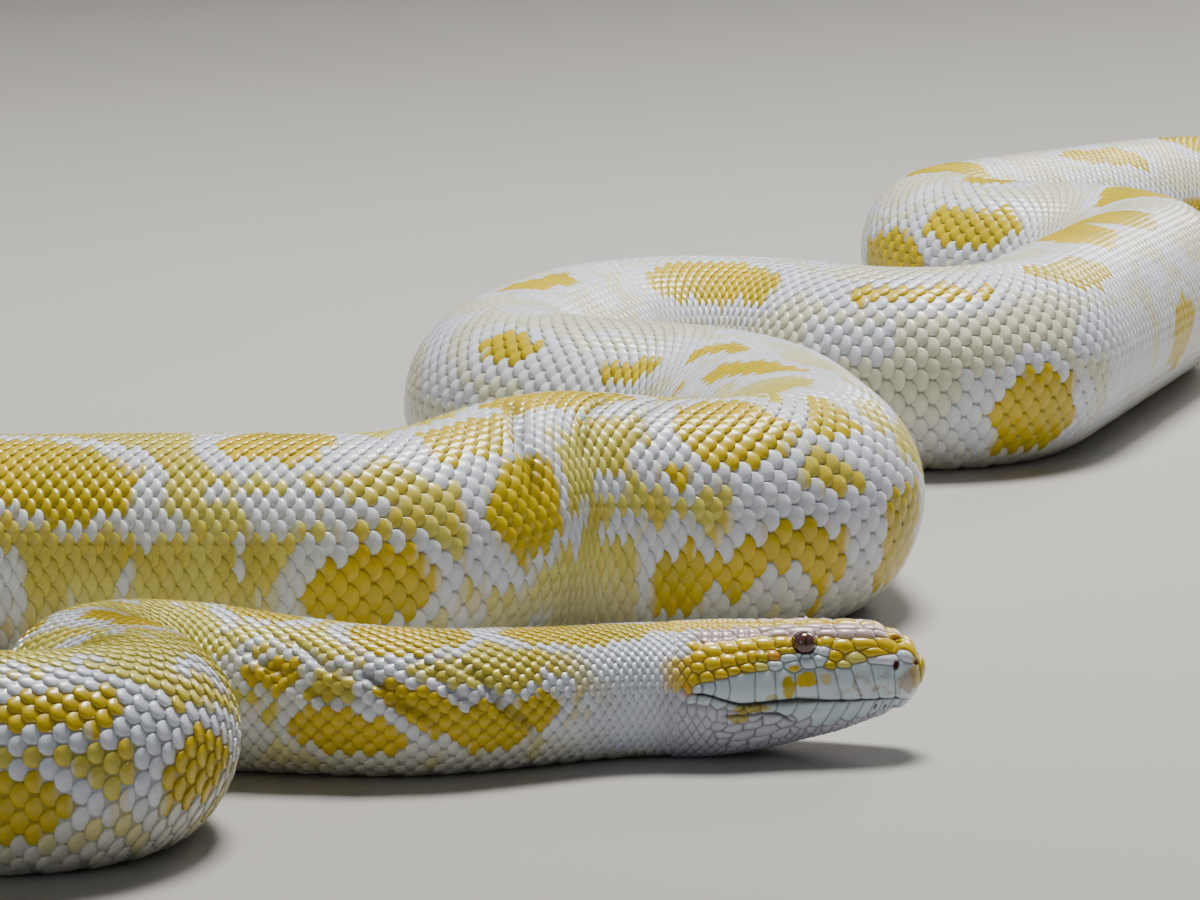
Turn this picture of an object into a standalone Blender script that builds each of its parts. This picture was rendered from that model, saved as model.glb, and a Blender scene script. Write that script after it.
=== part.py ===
"""Life-size model of a coiled python at rest, as separate lengths of one body.

Metres, +Z up.  The animal lies on the plane z = 0.  The body is a closed section carried along a
course over the floor.  The course is a belt laid round a row of bends: straight tangents between
circles, eased where they meet.  The origin is the middle of the bounding box's underside.
"""

import math

import bmesh
import bpy
import numpy as np
from mathutils import Vector

# ---------------------------------------------------------------- driving dimensions (metres)

HEAD_LENGTH = 0.105      # snout to the rear of the jaw
RING_STEP = 0.045        # distance between sections along a straight length
RING_TURN = math.radians(15.0)   # turn between sections in a bend
HEAD_RING_STEP = 0.0070  # distance between sections along the head
SIDES = 18               # corners of one section
CUT = 0.0003             # gap between neighbouring lengths
COURSE_STEP = 0.002      # spacing of the sampled course
COURSE_EASE = 0.012      # how far a bend's curvature is spread along the course
BELLY_PRESS = 0.10       # how much of the lower half is pressed flat by the body's weight

LEFT = 1                 # a bend that turns the body to its left on the way to the tail
RIGHT = -1

# Bends of the course from the snout to the tail's tip: name, centre x, centre y, radius, side.
BENDS = (
    ("snout", 0.131, 0.000, 0.000, LEFT),
    ("nape", 0.030, -0.090, 0.090, LEFT),
    ("neck", -0.085, 0.056, 0.090, RIGHT),
    ("first bend", -0.158, -0.067, 0.045, LEFT),
    ("second bend", -0.221, -0.133, 0.045, RIGHT),
    ("near turn", -0.330, -0.010, 0.165, RIGHT),
    ("crease", -0.128, 0.240, 0.085, LEFT),
    ("hump", 0.002, 0.140, 0.075, RIGHT),
    ("front shoulder", 0.040, 0.278, 0.058, LEFT),
    ("back shoulder", -0.005, 0.350, 0.090, LEFT),
    ("inner turn", 0.028, 0.515, 0.075, RIGHT),
    ("outer turn", 0.060, 0.575, 0.085, RIGHT),
    ("third arm", 0.166, 0.688, 0.068, LEFT),
    ("bulge", 0.245, 0.930, 0.080, LEFT),
    ("far hump", 0.280, 1.076, 0.070, RIGHT),
    ("far turn", 0.450, 1.215, 0.120, RIGHT),
    ("tail bend", 0.615, 0.860, 0.110, LEFT),
    ("tail curl", 0.655, 0.885, 0.065, LEFT),
    ("tail tip", 0.600, 0.965, 0.000, LEFT),
)

# Trunk and tail: distance from the snout, half width, height.
TRUNK_STATIONS = (
    (0.105, 0.0305, 0.0532),
    (0.135, 0.0290, 0.0536),
    (0.180, 0.0300, 0.0562),
    (0.260, 0.0330, 0.0618),
    (0.340, 0.0365, 0.0722),
    (0.420, 0.0395, 0.0795),
    (0.600, 0.0425, 0.0845),
    (0.900, 0.0485, 0.0960),
    (1.300, 0.0520, 0.1030),
    (1.365, 0.0522, 0.1022),
    (1.455, 0.0530, 0.1115),
    (1.530, 0.0535, 0.1062),
    (1.700, 0.0540, 0.1070),
    (2.300, 0.0535, 0.1050),
    (2.700, 0.0500, 0.0990),
    (3.000, 0.0455, 0.0905),
    (3.250, 0.0400, 0.0800),
    (3.500, 0.0325, 0.0660),
    (3.680, 0.0260, 0.0530),
    (3.850, 0.0195, 0.0400),
    (4.050, 0.0100, 0.0205),
)
TAIL_END = (0.0030, 0.0060)   # half width and height at the tail's tip

# Head: share of the head's length, half width, underside, crown.
HEAD_STATIONS = (
    (0.000, 0.0080, 0.0280, 0.0400),
    (0.025, 0.0118, 0.0225, 0.0450),
    (0.070, 0.0150, 0.0185, 0.0485),
    (0.130, 0.0172, 0.0165, 0.0510),
    (0.200, 0.0190, 0.0140, 0.0535),
    (0.320, 0.0215, 0.0095, 0.0541),
    (0.457, 0.0240, 0.0060, 0.0540),
    (0.600, 0.0275, 0.0028, 0.0536),
    (0.750, 0.0305, 0.0010, 0.0533),
    (0.880, 0.0318, 0.0000, 0.0532),
    (1.000, 0.0305, 0.0000, 0.0532),
)
LIP_SHARE = 0.42         # height of the widest part of the head, as a share of its depth
HEAD_SQUARE = 0.80       # exponent that squares the head's section; 1 is an ellipse
NAPE_BLEND = 0.045       # length over which the head's section turns into the trunk's

EYE_STATION = 0.457      # share of the head's length
EYE_HEIGHT = 0.0480
EYE_RADIUS = 0.0050
EYE_PROUD = 0.0025       # how far the eyeball stands out of the head
EYE_CLEARANCE = 0.0003

HEAD_CUT = 0.112         # where the head ends and the neck begins
NECK_END = 0.270
TAIL_LENGTH = 0.50       # from the vent to the tip
TRUNK_LENGTHS = 21       # lengths between the neck and the vent
TAIL_LENGTHS = 6

# ---------------------------------------------------------------- the course over the floor


def tangent_headings():
    """Headings of the straight runs between neighbouring bends, with their end points."""
    runs = []
    for start, end in zip(BENDS[:-1], BENDS[1:]):
        offset = np.array(end[1:3]) - np.array(start[1:3])
        side_step = end[4] * end[3] - start[4] * start[3]
        run = math.sqrt(offset @ offset - side_step * side_step)
        heading = math.atan2(offset[1], offset[0]) - math.atan2(side_step, run)
        right = np.array((math.sin(heading), -math.cos(heading)))
        first = np.array(start[1:3]) + start[4] * start[3] * right
        last = np.array(end[1:3]) + end[4] * end[3] * right
        runs.append((heading, first, last))
    return runs


def belt_points():
    """Points along the belt: straight runs joined by the arcs of the bends."""
    runs = tangent_headings()
    points = [runs[0][1]]
    for index, (heading, first, last) in enumerate(runs):
        points.append(last)
        if index + 1 == len(runs):
            break
        _, centre_x, centre_y, radius, side = BENDS[index + 1]
        turn = side * ((side * (runs[index + 1][0] - heading)) % (2.0 * math.pi))
        count = max(2, math.ceil(abs(turn) * radius / COURSE_STEP))
        for step in range(1, count + 1):
            angle = heading + turn * step / count
            spoke = side * radius * np.array((math.sin(angle), -math.cos(angle)))
            points.append(np.array((centre_x, centre_y)) + spoke)
    return np.array(points)


def arc_length(points):
    """Distance along a polyline at each of its points."""
    pieces = np.linalg.norm(np.diff(points, axis=0), axis=1)
    return np.concatenate(((0.0,), np.cumsum(pieces)))


def ease(values):
    """A Gaussian average along the course that keeps both ends where they are."""
    reach = int(4 * COURSE_EASE / COURSE_STEP)
    offsets = np.arange(-reach, reach + 1) * COURSE_STEP / COURSE_EASE
    kernel = np.exp(-0.5 * offsets ** 2)
    before = 2 * values[0] - values[reach:0:-1]
    after = 2 * values[-1] - values[-2:-reach - 2:-1]
    return np.convolve(np.concatenate((before, values, after)), kernel / kernel.sum(), mode="valid")


class Course:
    """The eased line of the body over the floor, read by distance from the snout."""

    def __init__(self):
        belt = belt_points()
        along = arc_length(belt)
        spread = np.linspace(0.0, along[-1], round(along[-1] / COURSE_STEP) + 1)
        line = np.stack([ease(np.interp(spread, along, belt[:, axis])) for axis in (0, 1)], axis=1)
        self.line = line
        self.along = arc_length(line)
        self.length = float(self.along[-1])
        slope = np.gradient(line, axis=0)
        self.heading = np.unwrap(np.arctan2(slope[:, 1], slope[:, 0]))
        density = 1.0 / RING_STEP + np.abs(np.gradient(self.heading, self.along)) / RING_TURN
        growth = 0.5 * (density[1:] + density[:-1]) * np.diff(self.along)
        self.ring_count = np.concatenate(((0.0,), np.cumsum(growth)))

    def place(self, distance):
        """Position on the floor and heading at a distance from the snout."""
        x = np.interp(distance, self.along, self.line[:, 0])
        y = np.interp(distance, self.along, self.line[:, 1])
        return x, y, np.interp(distance, self.along, self.heading)

    def ring_places(self, begin, end):
        """Distances for the sections of one length, closer together where the body bends."""
        first, last = np.interp((begin, end), self.along, self.ring_count)
        counts = np.linspace(first, last, max(3, round(last - first)) + 1)
        places = np.interp(counts, self.ring_count, self.along)
        places[0], places[-1] = begin, end
        return places


# ---------------------------------------------------------------- the section and its sizes


def smooth_read(stations, where):
    """Values between stations on a monotone cubic, one per column after the first."""
    knots = np.array([row[0] for row in stations])
    values = np.array([row[1:] for row in stations])
    gaps = np.diff(knots)[:, None]
    rates = np.diff(values, axis=0) / gaps
    slopes = np.zeros_like(values)
    same_way = rates[:-1] * rates[1:] > 0
    blend = 2.0 * rates[:-1] * rates[1:] / np.where(same_way, rates[:-1] + rates[1:], 1.0)
    slopes[1:-1] = np.where(same_way, blend, 0.0)
    slopes[0] = rates[0]
    slopes[-1] = rates[-1]
    cell = int(np.clip(np.searchsorted(knots, where) - 1, 0, len(gaps) - 1))
    gap = float(gaps[cell, 0])
    t = min(max((where - knots[cell]) / gap, 0.0), 1.0)
    return (values[cell] * (1 + 2 * t) * (1 - t) ** 2 + slopes[cell] * gap * t * (1 - t) ** 2
            + values[cell + 1] * t * t * (3 - 2 * t) + slopes[cell + 1] * gap * t * t * (t - 1))


def trunk_section(angles, half_width, height):
    """An ellipse that stands on the floor with its lowest part pressed flat."""
    up = np.sin(angles)
    pressed = np.where(up < 0.0, up * (1.0 + BELLY_PRESS), up)
    return half_width * np.cos(angles), np.maximum(0.5 * height * (1.0 + pressed), 0.0)


def head_section(angles, half_width, underside, crown):
    """A squared oval, widest at the lips, from the underside of the jaw to the crown."""
    across = np.cos(angles)
    up = np.sin(angles)
    lip = underside + LIP_SHARE * (crown - underside)
    reach = np.where(up > 0.0, crown - lip, lip - underside)
    lateral = half_width * np.sign(across) * np.abs(across) ** HEAD_SQUARE
    return lateral, lip + reach * np.sign(up) * np.abs(up) ** HEAD_SQUARE


def section(course_length, distance, angles):
    """Lateral and upward places of the section's corners at a distance from the snout."""
    stations = TRUNK_STATIONS + ((course_length, *TAIL_END),)
    half_width, height = smooth_read(stations, max(distance, HEAD_LENGTH))
    lateral, up = trunk_section(angles, half_width, height)
    blend = min(max((distance - HEAD_LENGTH + NAPE_BLEND) / NAPE_BLEND, 0.0), 1.0)
    blend = blend * blend * (3.0 - 2.0 * blend)
    if blend < 1.0:
        sizes = smooth_read(HEAD_STATIONS, distance / HEAD_LENGTH)
        head_lateral, head_up = head_section(angles, *sizes)
        lateral = (1.0 - blend) * head_lateral + blend * lateral
        up = (1.0 - blend) * head_up + blend * up
    return lateral, up


def ring(course, distance):
    """Corners of the section at a distance from the snout, in space."""
    angles = -0.5 * math.pi + 2.0 * math.pi * np.arange(SIDES) / SIDES
    lateral, up = section(course.length, distance, angles)
    x, y, heading = course.place(distance)
    left = np.array((-math.sin(heading), math.cos(heading)))
    return np.stack((x + left[0] * lateral, y + left[1] * lateral, up), axis=1)


# ---------------------------------------------------------------- objects


def skin_material(name, colour, roughness):
    """A plain Principled material."""
    material = bpy.data.materials.new(name)
    material.use_nodes = True
    shader = material.node_tree.nodes["Principled BSDF"]
    shader.inputs["Base Color"].default_value = (*colour, 1.0)
    shader.inputs["Roughness"].default_value = roughness
    shader.inputs["Metallic"].default_value = 0.0
    return material


def add_object(name, mesh, material):
    """Put a mesh in the scene under its node's name."""
    mesh.materials.append(material)
    body = bpy.data.objects.new(name, mesh)
    bpy.context.scene.collection.objects.link(body)
    return body


def closed_tube(name, rings, shift):
    """One closed body through a row of rings, with a flat cap at each end."""
    shell = bmesh.new()
    rows = [[shell.verts.new(Vector(corner) + shift) for corner in row.tolist()] for row in rings]
    for near, far in zip(rows[:-1], rows[1:]):
        for side in range(SIDES):
            after = (side + 1) % SIDES
            shell.faces.new((near[side], far[side], far[after], near[after]))
    shell.faces.new(rows[0])
    shell.faces.new(rows[-1][::-1])
    bmesh.ops.recalc_face_normals(shell, faces=shell.faces)
    mesh = bpy.data.meshes.new(name)
    shell.to_mesh(mesh)
    shell.free()
    mesh.shade_smooth()
    mesh.set_sharp_from_angle(angle=math.radians(50.0))
    return mesh


def ball(name, radius, centre):
    """A closed ball."""
    shell = bmesh.new()
    bmesh.ops.create_uvsphere(shell, u_segments=16, v_segments=10, radius=radius)
    bmesh.ops.translate(shell, verts=shell.verts, vec=centre)
    mesh = bpy.data.meshes.new(name)
    shell.to_mesh(mesh)
    shell.free()
    mesh.shade_smooth()
    return mesh


def eye_centres(course):
    """Centres of the two eyeballs, left one first."""
    distance = EYE_STATION * HEAD_LENGTH
    upper = np.linspace(0.0, 0.5 * math.pi, 91)
    lateral, up = section(course.length, distance, upper)
    reach = float(np.interp(EYE_HEIGHT, up, lateral)) + EYE_PROUD - EYE_RADIUS
    x, y, heading = course.place(distance)
    left = Vector((-math.sin(heading), math.cos(heading), 0.0))
    middle = Vector((float(x), float(y), EYE_HEIGHT))
    return {"eye_right": middle + left * reach, "eye_left": middle - left * reach}


def length_names(course):
    """Each length of the body: its name and where it begins and ends."""
    vent = course.length - TAIL_LENGTH
    spans = [("head", 0.0, HEAD_CUT), ("neck", HEAD_CUT, NECK_END)]
    trunk = np.linspace(NECK_END, vent, TRUNK_LENGTHS + 1)
    for index in range(TRUNK_LENGTHS):
        spans.append((f"trunk_{index + 1:02d}", trunk[index], trunk[index + 1]))
    tail = np.linspace(vent, course.length, TAIL_LENGTHS + 1)
    for index in range(TAIL_LENGTHS):
        spans.append((f"tail_{index + 1}", tail[index], tail[index + 1]))
    return spans


def span_rings(course, begin, end):
    """Rings from one cut to the next, each length standing half a cut back from its cuts."""
    inner_begin = begin + (0.5 * CUT if begin > 0.0 else 0.0)
    inner_end = end - (0.5 * CUT if end < course.length else 0.0)
    if begin == 0.0:
        face = [share * HEAD_LENGTH for share in (0.0, 0.025, 0.065)]
        count = round((inner_end - face[-1]) / HEAD_RING_STEP)
        places = face[:-1] + list(np.linspace(face[-1], inner_end, count + 1))
    else:
        places = course.ring_places(inner_begin, inner_end)
    return [ring(course, place) for place in places]


def cut_sockets(head, eyes, shift):
    """Hollow the head round each eyeball."""
    for name, centre in eyes.items():
        mesh = ball(f"{name}_socket", EYE_RADIUS + EYE_CLEARANCE, centre + shift)
        cutter = bpy.data.objects.new(f"{name}_socket", mesh)
        bpy.context.scene.collection.objects.link(cutter)
        cutter.hide_render = True
        cutter.display_type = "WIRE"
        cut = head.modifiers.new(f"{name} socket", "BOOLEAN")
        cut.operation = "DIFFERENCE"
        cut.solver = "EXACT"
        cut.object = cutter


def main():
    """Build every length of the body and both eyes."""
    for old in list(bpy.data.objects):
        bpy.data.objects.remove(old, do_unlink=True)
    course = Course()
    spans = {name: span_rings(course, begin, end) for name, begin, end in length_names(course)}
    corners = np.concatenate([np.concatenate(rows) for rows in spans.values()])
    low, high = corners.min(axis=0), corners.max(axis=0)
    shift = Vector((-0.5 * float(low[0] + high[0]), -0.5 * float(low[1] + high[1]), 0.0))

    scales = skin_material("python_skin", (0.78, 0.66, 0.30), 0.35)
    eye_shell = skin_material("python_eye", (0.10, 0.03, 0.025), 0.08)
    bodies = {name: add_object(name, closed_tube(name, rows, shift), scales)
              for name, rows in spans.items()}
    eyes = eye_centres(course)
    cut_sockets(bodies["head"], eyes, shift)
    for name, centre in eyes.items():
        add_object(name, ball(name, EYE_RADIUS, centre + shift), eye_shell)


main()
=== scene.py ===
"""Coiled python: skin, scales, head shields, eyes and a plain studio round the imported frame.

Metres, +Z up.  Every surface is a function of two parameters on a grid: the distance s from the
snout along the body, and the angle phi round the body from the spine, positive to the right of an
animal seen from its own tail end.
"""

import logging
import math
from dataclasses import dataclass, field
from enum import Enum

import bpy
import numpy as np
from numpy.typing import NDArray
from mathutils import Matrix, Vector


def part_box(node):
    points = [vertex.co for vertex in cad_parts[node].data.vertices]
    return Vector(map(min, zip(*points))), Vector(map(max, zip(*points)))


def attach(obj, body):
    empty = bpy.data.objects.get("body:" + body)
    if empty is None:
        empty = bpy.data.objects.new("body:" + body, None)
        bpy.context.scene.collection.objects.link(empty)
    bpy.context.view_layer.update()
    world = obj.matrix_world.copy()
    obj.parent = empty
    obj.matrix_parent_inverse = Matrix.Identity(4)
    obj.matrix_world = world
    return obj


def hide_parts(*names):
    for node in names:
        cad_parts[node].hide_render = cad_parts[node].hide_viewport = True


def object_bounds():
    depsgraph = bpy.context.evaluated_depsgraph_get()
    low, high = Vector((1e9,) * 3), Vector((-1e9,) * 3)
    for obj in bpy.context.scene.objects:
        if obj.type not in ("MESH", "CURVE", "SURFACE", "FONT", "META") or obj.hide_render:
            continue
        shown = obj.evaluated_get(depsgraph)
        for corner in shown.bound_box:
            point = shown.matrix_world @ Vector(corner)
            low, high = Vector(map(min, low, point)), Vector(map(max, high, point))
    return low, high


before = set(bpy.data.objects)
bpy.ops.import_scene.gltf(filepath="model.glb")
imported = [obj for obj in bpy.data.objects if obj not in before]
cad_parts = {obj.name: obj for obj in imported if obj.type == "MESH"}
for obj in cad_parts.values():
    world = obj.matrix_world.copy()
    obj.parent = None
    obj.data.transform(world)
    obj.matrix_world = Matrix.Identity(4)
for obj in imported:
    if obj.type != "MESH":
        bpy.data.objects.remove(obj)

Array = NDArray[np.float64]
Colour = tuple[float, float, float]

log = logging.getLogger("python_model")
CAD_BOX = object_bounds()
EYE_NODES = ("eye_left", "eye_right")


# ---------------------------------------------------------------- small numeric helpers


def srgb(red: float, green: float, blue: float) -> Colour:
    """A colour given as display values, returned as linear light."""
    return tuple(((v + 0.055) / 1.055) ** 2.4 if v > 0.04045 else v / 12.92 for v in (red, green, blue))


def smoothstep(low: float, high: float, value: Array) -> Array:
    """Ease from 0 at low to 1 at high: 3t^2 - 2t^3 of the clamped share t."""
    share = np.clip((value - low) / (high - low), 0.0, 1.0)
    return share * share * (3.0 - 2.0 * share)


def bump(distance: Array, width: float) -> Array:
    """A Gaussian hill: exp(-(d / w)^2)."""
    return np.exp(-(distance / width) ** 2)


def mix(base: Array, other: Array, weight: Array) -> Array:
    """Colours eased towards others: the base times 1 - w, plus the other times w."""
    share = np.asarray(weight)[..., None]
    return base * (1.0 - share) + other * share


def turned(ahead: Array, aside: Array, degrees: float) -> tuple[Array, Array]:
    """Two offsets read in axes turned by an angle: a cos + b sin, and b cos - a sin."""
    cos, sin = math.cos(math.radians(degrees)), math.sin(math.radians(degrees))
    return ahead * cos + aside * sin, aside * cos - ahead * sin


def read_line(line: tuple[tuple[float, float], ...], where: Array) -> Array:
    """Values of a line given as points, read straight between them."""
    return np.interp(where, *np.array(line).T)


def hash01(*keys: Array) -> Array:
    """Repeatable noise in 0..1 from whole-number keys: the fraction of a scaled sine of their mix.

    Args:
        keys: arrays of whole numbers that broadcast together.

    Returns:
        One value for each combination of keys.
    """
    total = np.zeros(np.broadcast(*keys).shape)
    for key, factor in zip(keys, (12.9898, 78.233, 37.719)):
        total = total + np.asarray(key, dtype=np.float64) * factor
    return np.modf(np.abs(np.sin(total + 0.5) * 43758.5453))[0]


def value_noise(points: Array, cell: float) -> Array:
    """Smooth noise in 0..1: hashed lattice corners blended by the eased share in each axis.

    Args:
        points: positions in space, shape (n, 3).
        cell: edge of one lattice cell, in metres.

    Returns:
        One value for each point.
    """
    corner = np.floor(points / cell)
    share = smoothstep(0.0, 1.0, points / cell - corner)
    total = np.zeros(len(points))
    for step in np.ndindex(2, 2, 2):
        weight = np.prod(np.abs(1 - np.array(step) - share), axis=1)
        total += weight * hash01(*(corner + step).T)
    return total


# ---------------------------------------------------------------- the body's course and section


class Side(Enum):
    """Which way a bend turns the body on the way to the tail."""

    LEFT = 1
    RIGHT = -1


@dataclass(frozen=True)
class Bend:
    """One pulley that the belt of the body is laid round."""

    name: str
    x: float
    y: float
    radius: float
    side: Side


BENDS = tuple(Bend(*row) for row in (
    ("snout", 0.131, 0.000, 0.000, Side.LEFT),
    ("nape", 0.030, -0.090, 0.090, Side.LEFT),
    ("neck", -0.085, 0.056, 0.090, Side.RIGHT),
    ("first bend", -0.158, -0.067, 0.045, Side.LEFT),
    ("second bend", -0.221, -0.133, 0.045, Side.RIGHT),
    ("near turn", -0.330, -0.010, 0.165, Side.RIGHT),
    ("crease", -0.128, 0.240, 0.085, Side.LEFT),
    ("hump", 0.002, 0.140, 0.075, Side.RIGHT),
    ("front shoulder", 0.040, 0.278, 0.058, Side.LEFT),
    ("back shoulder", -0.005, 0.350, 0.090, Side.LEFT),
    ("inner turn", 0.028, 0.515, 0.075, Side.RIGHT),
    ("outer turn", 0.060, 0.575, 0.085, Side.RIGHT),
    ("third arm", 0.166, 0.688, 0.068, Side.LEFT),
    ("bulge", 0.245, 0.930, 0.080, Side.LEFT),
    ("far hump", 0.280, 1.076, 0.070, Side.RIGHT),
    ("far turn", 0.450, 1.215, 0.120, Side.RIGHT),
    ("tail bend", 0.615, 0.860, 0.110, Side.LEFT),
    ("tail curl", 0.655, 0.885, 0.065, Side.LEFT),
    ("tail tip", 0.600, 0.965, 0.000, Side.LEFT),
))

# Trunk and tail: distance from the snout, half width, height.
TRUNK_STATIONS = (
    (0.105, 0.0305, 0.0532),
    (0.135, 0.0290, 0.0536),
    (0.180, 0.0300, 0.0562),
    (0.260, 0.0330, 0.0618),
    (0.340, 0.0365, 0.0722),
    (0.420, 0.0395, 0.0795),
    (0.600, 0.0425, 0.0845),
    (0.900, 0.0485, 0.0960),
    (1.300, 0.0520, 0.1030),
    (1.365, 0.0522, 0.1022),
    (1.455, 0.0530, 0.1115),
    (1.530, 0.0535, 0.1062),
    (1.700, 0.0540, 0.1070),
    (2.300, 0.0535, 0.1050),
    (2.700, 0.0500, 0.0990),
    (3.000, 0.0455, 0.0905),
    (3.250, 0.0400, 0.0800),
    (3.500, 0.0325, 0.0660),
    (3.680, 0.0260, 0.0530),
    (3.850, 0.0195, 0.0400),
    (4.050, 0.0100, 0.0205),
)
TAIL_END = (0.0030, 0.0060)

# Scales: distance from the snout, length of one scale.
PITCH_STATIONS = (
    (0.090, 0.0043), (0.120, 0.0047), (0.165, 0.0061), (0.220, 0.0066), (1.300, 0.0067), (2.700, 0.0067),
    (3.250, 0.0060), (3.680, 0.0048), (3.850, 0.0038), (4.050, 0.0024), (4.220, 0.0014),
)

# Head: share of the head's length, half width, underside, crown.
HEAD_STATIONS = (
    (0.000, 0.0080, 0.0280, 0.0400),
    (0.025, 0.0118, 0.0225, 0.0450),
    (0.070, 0.0150, 0.0185, 0.0485),
    (0.130, 0.0172, 0.0165, 0.0510),
    (0.200, 0.0190, 0.0140, 0.0535),
    (0.320, 0.0215, 0.0095, 0.0541),
    (0.457, 0.0240, 0.0060, 0.0540),
    (0.600, 0.0275, 0.0028, 0.0536),
    (0.750, 0.0305, 0.0010, 0.0533),
    (0.880, 0.0318, 0.0000, 0.0532),
    (1.000, 0.0305, 0.0000, 0.0532),
)


def smooth_read(stations: Array, where: Array) -> Array:
    """Values between stations on a monotone cubic whose slopes are harmonic means of the rates.

    Args:
        stations: rows of a knot followed by its values.
        where: places to read, shape (n,).

    Returns:
        One row of values for each place.
    """
    knots, values = stations[:, 0], stations[:, 1:]
    gaps = np.diff(knots)[:, None]
    rates = np.diff(values, axis=0) / gaps
    same_way = rates[:-1] * rates[1:] > 0
    blend = 2.0 * rates[:-1] * rates[1:] / np.where(same_way, rates[:-1] + rates[1:], 1.0)
    slopes = np.zeros_like(values)
    slopes[1:-1] = np.where(same_way, blend, 0.0)
    slopes[0], slopes[-1] = rates[0], rates[-1]
    cell = np.clip(np.searchsorted(knots, where) - 1, 0, len(gaps) - 1)
    gap = gaps[cell]
    t = np.clip((where - knots[cell])[:, None] / gap, 0.0, 1.0)
    return (values[cell] * (1 + 2 * t) * (1 - t) ** 2 + slopes[cell] * gap * t * (1 - t) ** 2
            + values[cell + 1] * t * t * (3 - 2 * t) + slopes[cell + 1] * gap * t * t * (t - 1))


@dataclass
class Course:
    """The eased line of the body over the floor, read by distance from the snout."""

    step: float = 0.002
    ease_length: float = 0.012
    line: Array = field(init=False)
    along: Array = field(init=False)
    heading: Array = field(init=False)
    length: float = field(init=False)

    def __post_init__(self) -> None:
        """Lay the belt, spread it evenly and ease its bends."""
        belt = self.belt_points()
        along = self.arc_length(belt)
        spread = np.linspace(0.0, along[-1], round(along[-1] / self.step) + 1)
        self.line = np.stack([self.ease(np.interp(spread, along, belt[:, k])) for k in (0, 1)], axis=1)
        self.along = self.arc_length(self.line)
        self.length = float(self.along[-1])
        slope = np.gradient(self.line, axis=0)
        self.heading = np.unwrap(np.arctan2(slope[:, 1], slope[:, 0]))

    @staticmethod
    def arc_length(points: Array) -> Array:
        """Distance along a polyline at each of its points."""
        return np.concatenate(((0.0,), np.cumsum(np.linalg.norm(np.diff(points, axis=0), axis=1))))

    @staticmethod
    def tangents() -> list[tuple[float, Array, Array]]:
        """The straight runs between neighbouring bends.

        A run touches both circles, so its heading is that of the line between the centres less the
        angle whose tangent is the difference of the signed radii over the run's length.

        Returns:
            The heading, first point and last point of each run.
        """
        runs = []
        for start, end in zip(BENDS[:-1], BENDS[1:]):
            offset = np.array((end.x - start.x, end.y - start.y))
            side_step = end.side.value * end.radius - start.side.value * start.radius
            run = math.sqrt(offset @ offset - side_step * side_step)
            heading = math.atan2(offset[1], offset[0]) - math.atan2(side_step, run)
            right = np.array((math.sin(heading), -math.cos(heading)))
            first = np.array((start.x, start.y)) + start.side.value * start.radius * right
            last = np.array((end.x, end.y)) + end.side.value * end.radius * right
            runs.append((heading, first, last))
        return runs

    def belt_points(self) -> Array:
        """Points along the belt: straight runs joined by the arcs of the bends.

        Returns:
            Places on the floor, shape (n, 2).
        """
        runs = self.tangents()
        points = [runs[0][1][None, :]]
        for (heading, _, last), bend, following in zip(runs, BENDS[1:], runs[1:] + [None]):
            points.append(last[None, :])
            if following is None:
                break
            side = bend.side.value
            turn = side * ((side * (following[0] - heading)) % (2.0 * math.pi))
            count = max(2, math.ceil(abs(turn) * bend.radius / self.step))
            angle = heading + turn * np.arange(1, count + 1) / count
            spokes = side * bend.radius * np.stack((np.sin(angle), -np.cos(angle)), axis=1)
            points.append(np.array((bend.x, bend.y)) + spokes)
        return np.concatenate(points)

    def ease(self, values: Array) -> Array:
        """A Gaussian average along the course that keeps both ends where they are.

        Args:
            values: one coordinate at even steps along the course.

        Returns:
            As many eased values.
        """
        reach = int(4 * self.ease_length / self.step)
        kernel = np.exp(-0.5 * (np.arange(-reach, reach + 1) * self.step / self.ease_length) ** 2)
        before = 2 * values[0] - values[reach:0:-1]
        after = 2 * values[-1] - values[-2:-reach - 2:-1]
        padded = np.concatenate((before, values, after))
        return np.convolve(padded, kernel / kernel.sum(), mode="valid")

    def place(self, s: Array) -> tuple[Array, Array, Array]:
        """Position on the floor and heading at distances from the snout."""
        return (np.interp(s, self.along, self.line[:, 0]), np.interp(s, self.along, self.line[:, 1]),
                np.interp(s, self.along, self.heading))


@dataclass(frozen=True)
class Fold:
    """A fine crease of the skin, straight in distance and angle, with a raised lip beside it."""

    s_start: float
    phi_start: float
    s_end: float
    phi_end: float
    depth: float
    width: float


FOLDS = tuple(Fold(*row) for row in (
    (0.292, -36.0, 0.250, -66.0, 0.0012, 0.0018),
    (0.264, -30.0, 0.218, -70.0, 0.0015, 0.0019),
    (0.232, -52.0, 0.208, -96.0, 0.0014, 0.0018),
    (0.200, -44.0, 0.172, -112.0, 0.0015, 0.0019),
    (0.214, -40.0, 0.190, -92.0, 0.0011, 0.0017),
    (0.278, -44.0, 0.236, -84.0, 0.0011, 0.0017),
    (1.430, 0.0, 1.408, 66.0, 0.0018, 0.0045),
    (1.476, 4.0, 1.452, 52.0, 0.0014, 0.0040),
    (1.500, 6.0, 1.484, 46.0, 0.0011, 0.0036),
))


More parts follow.
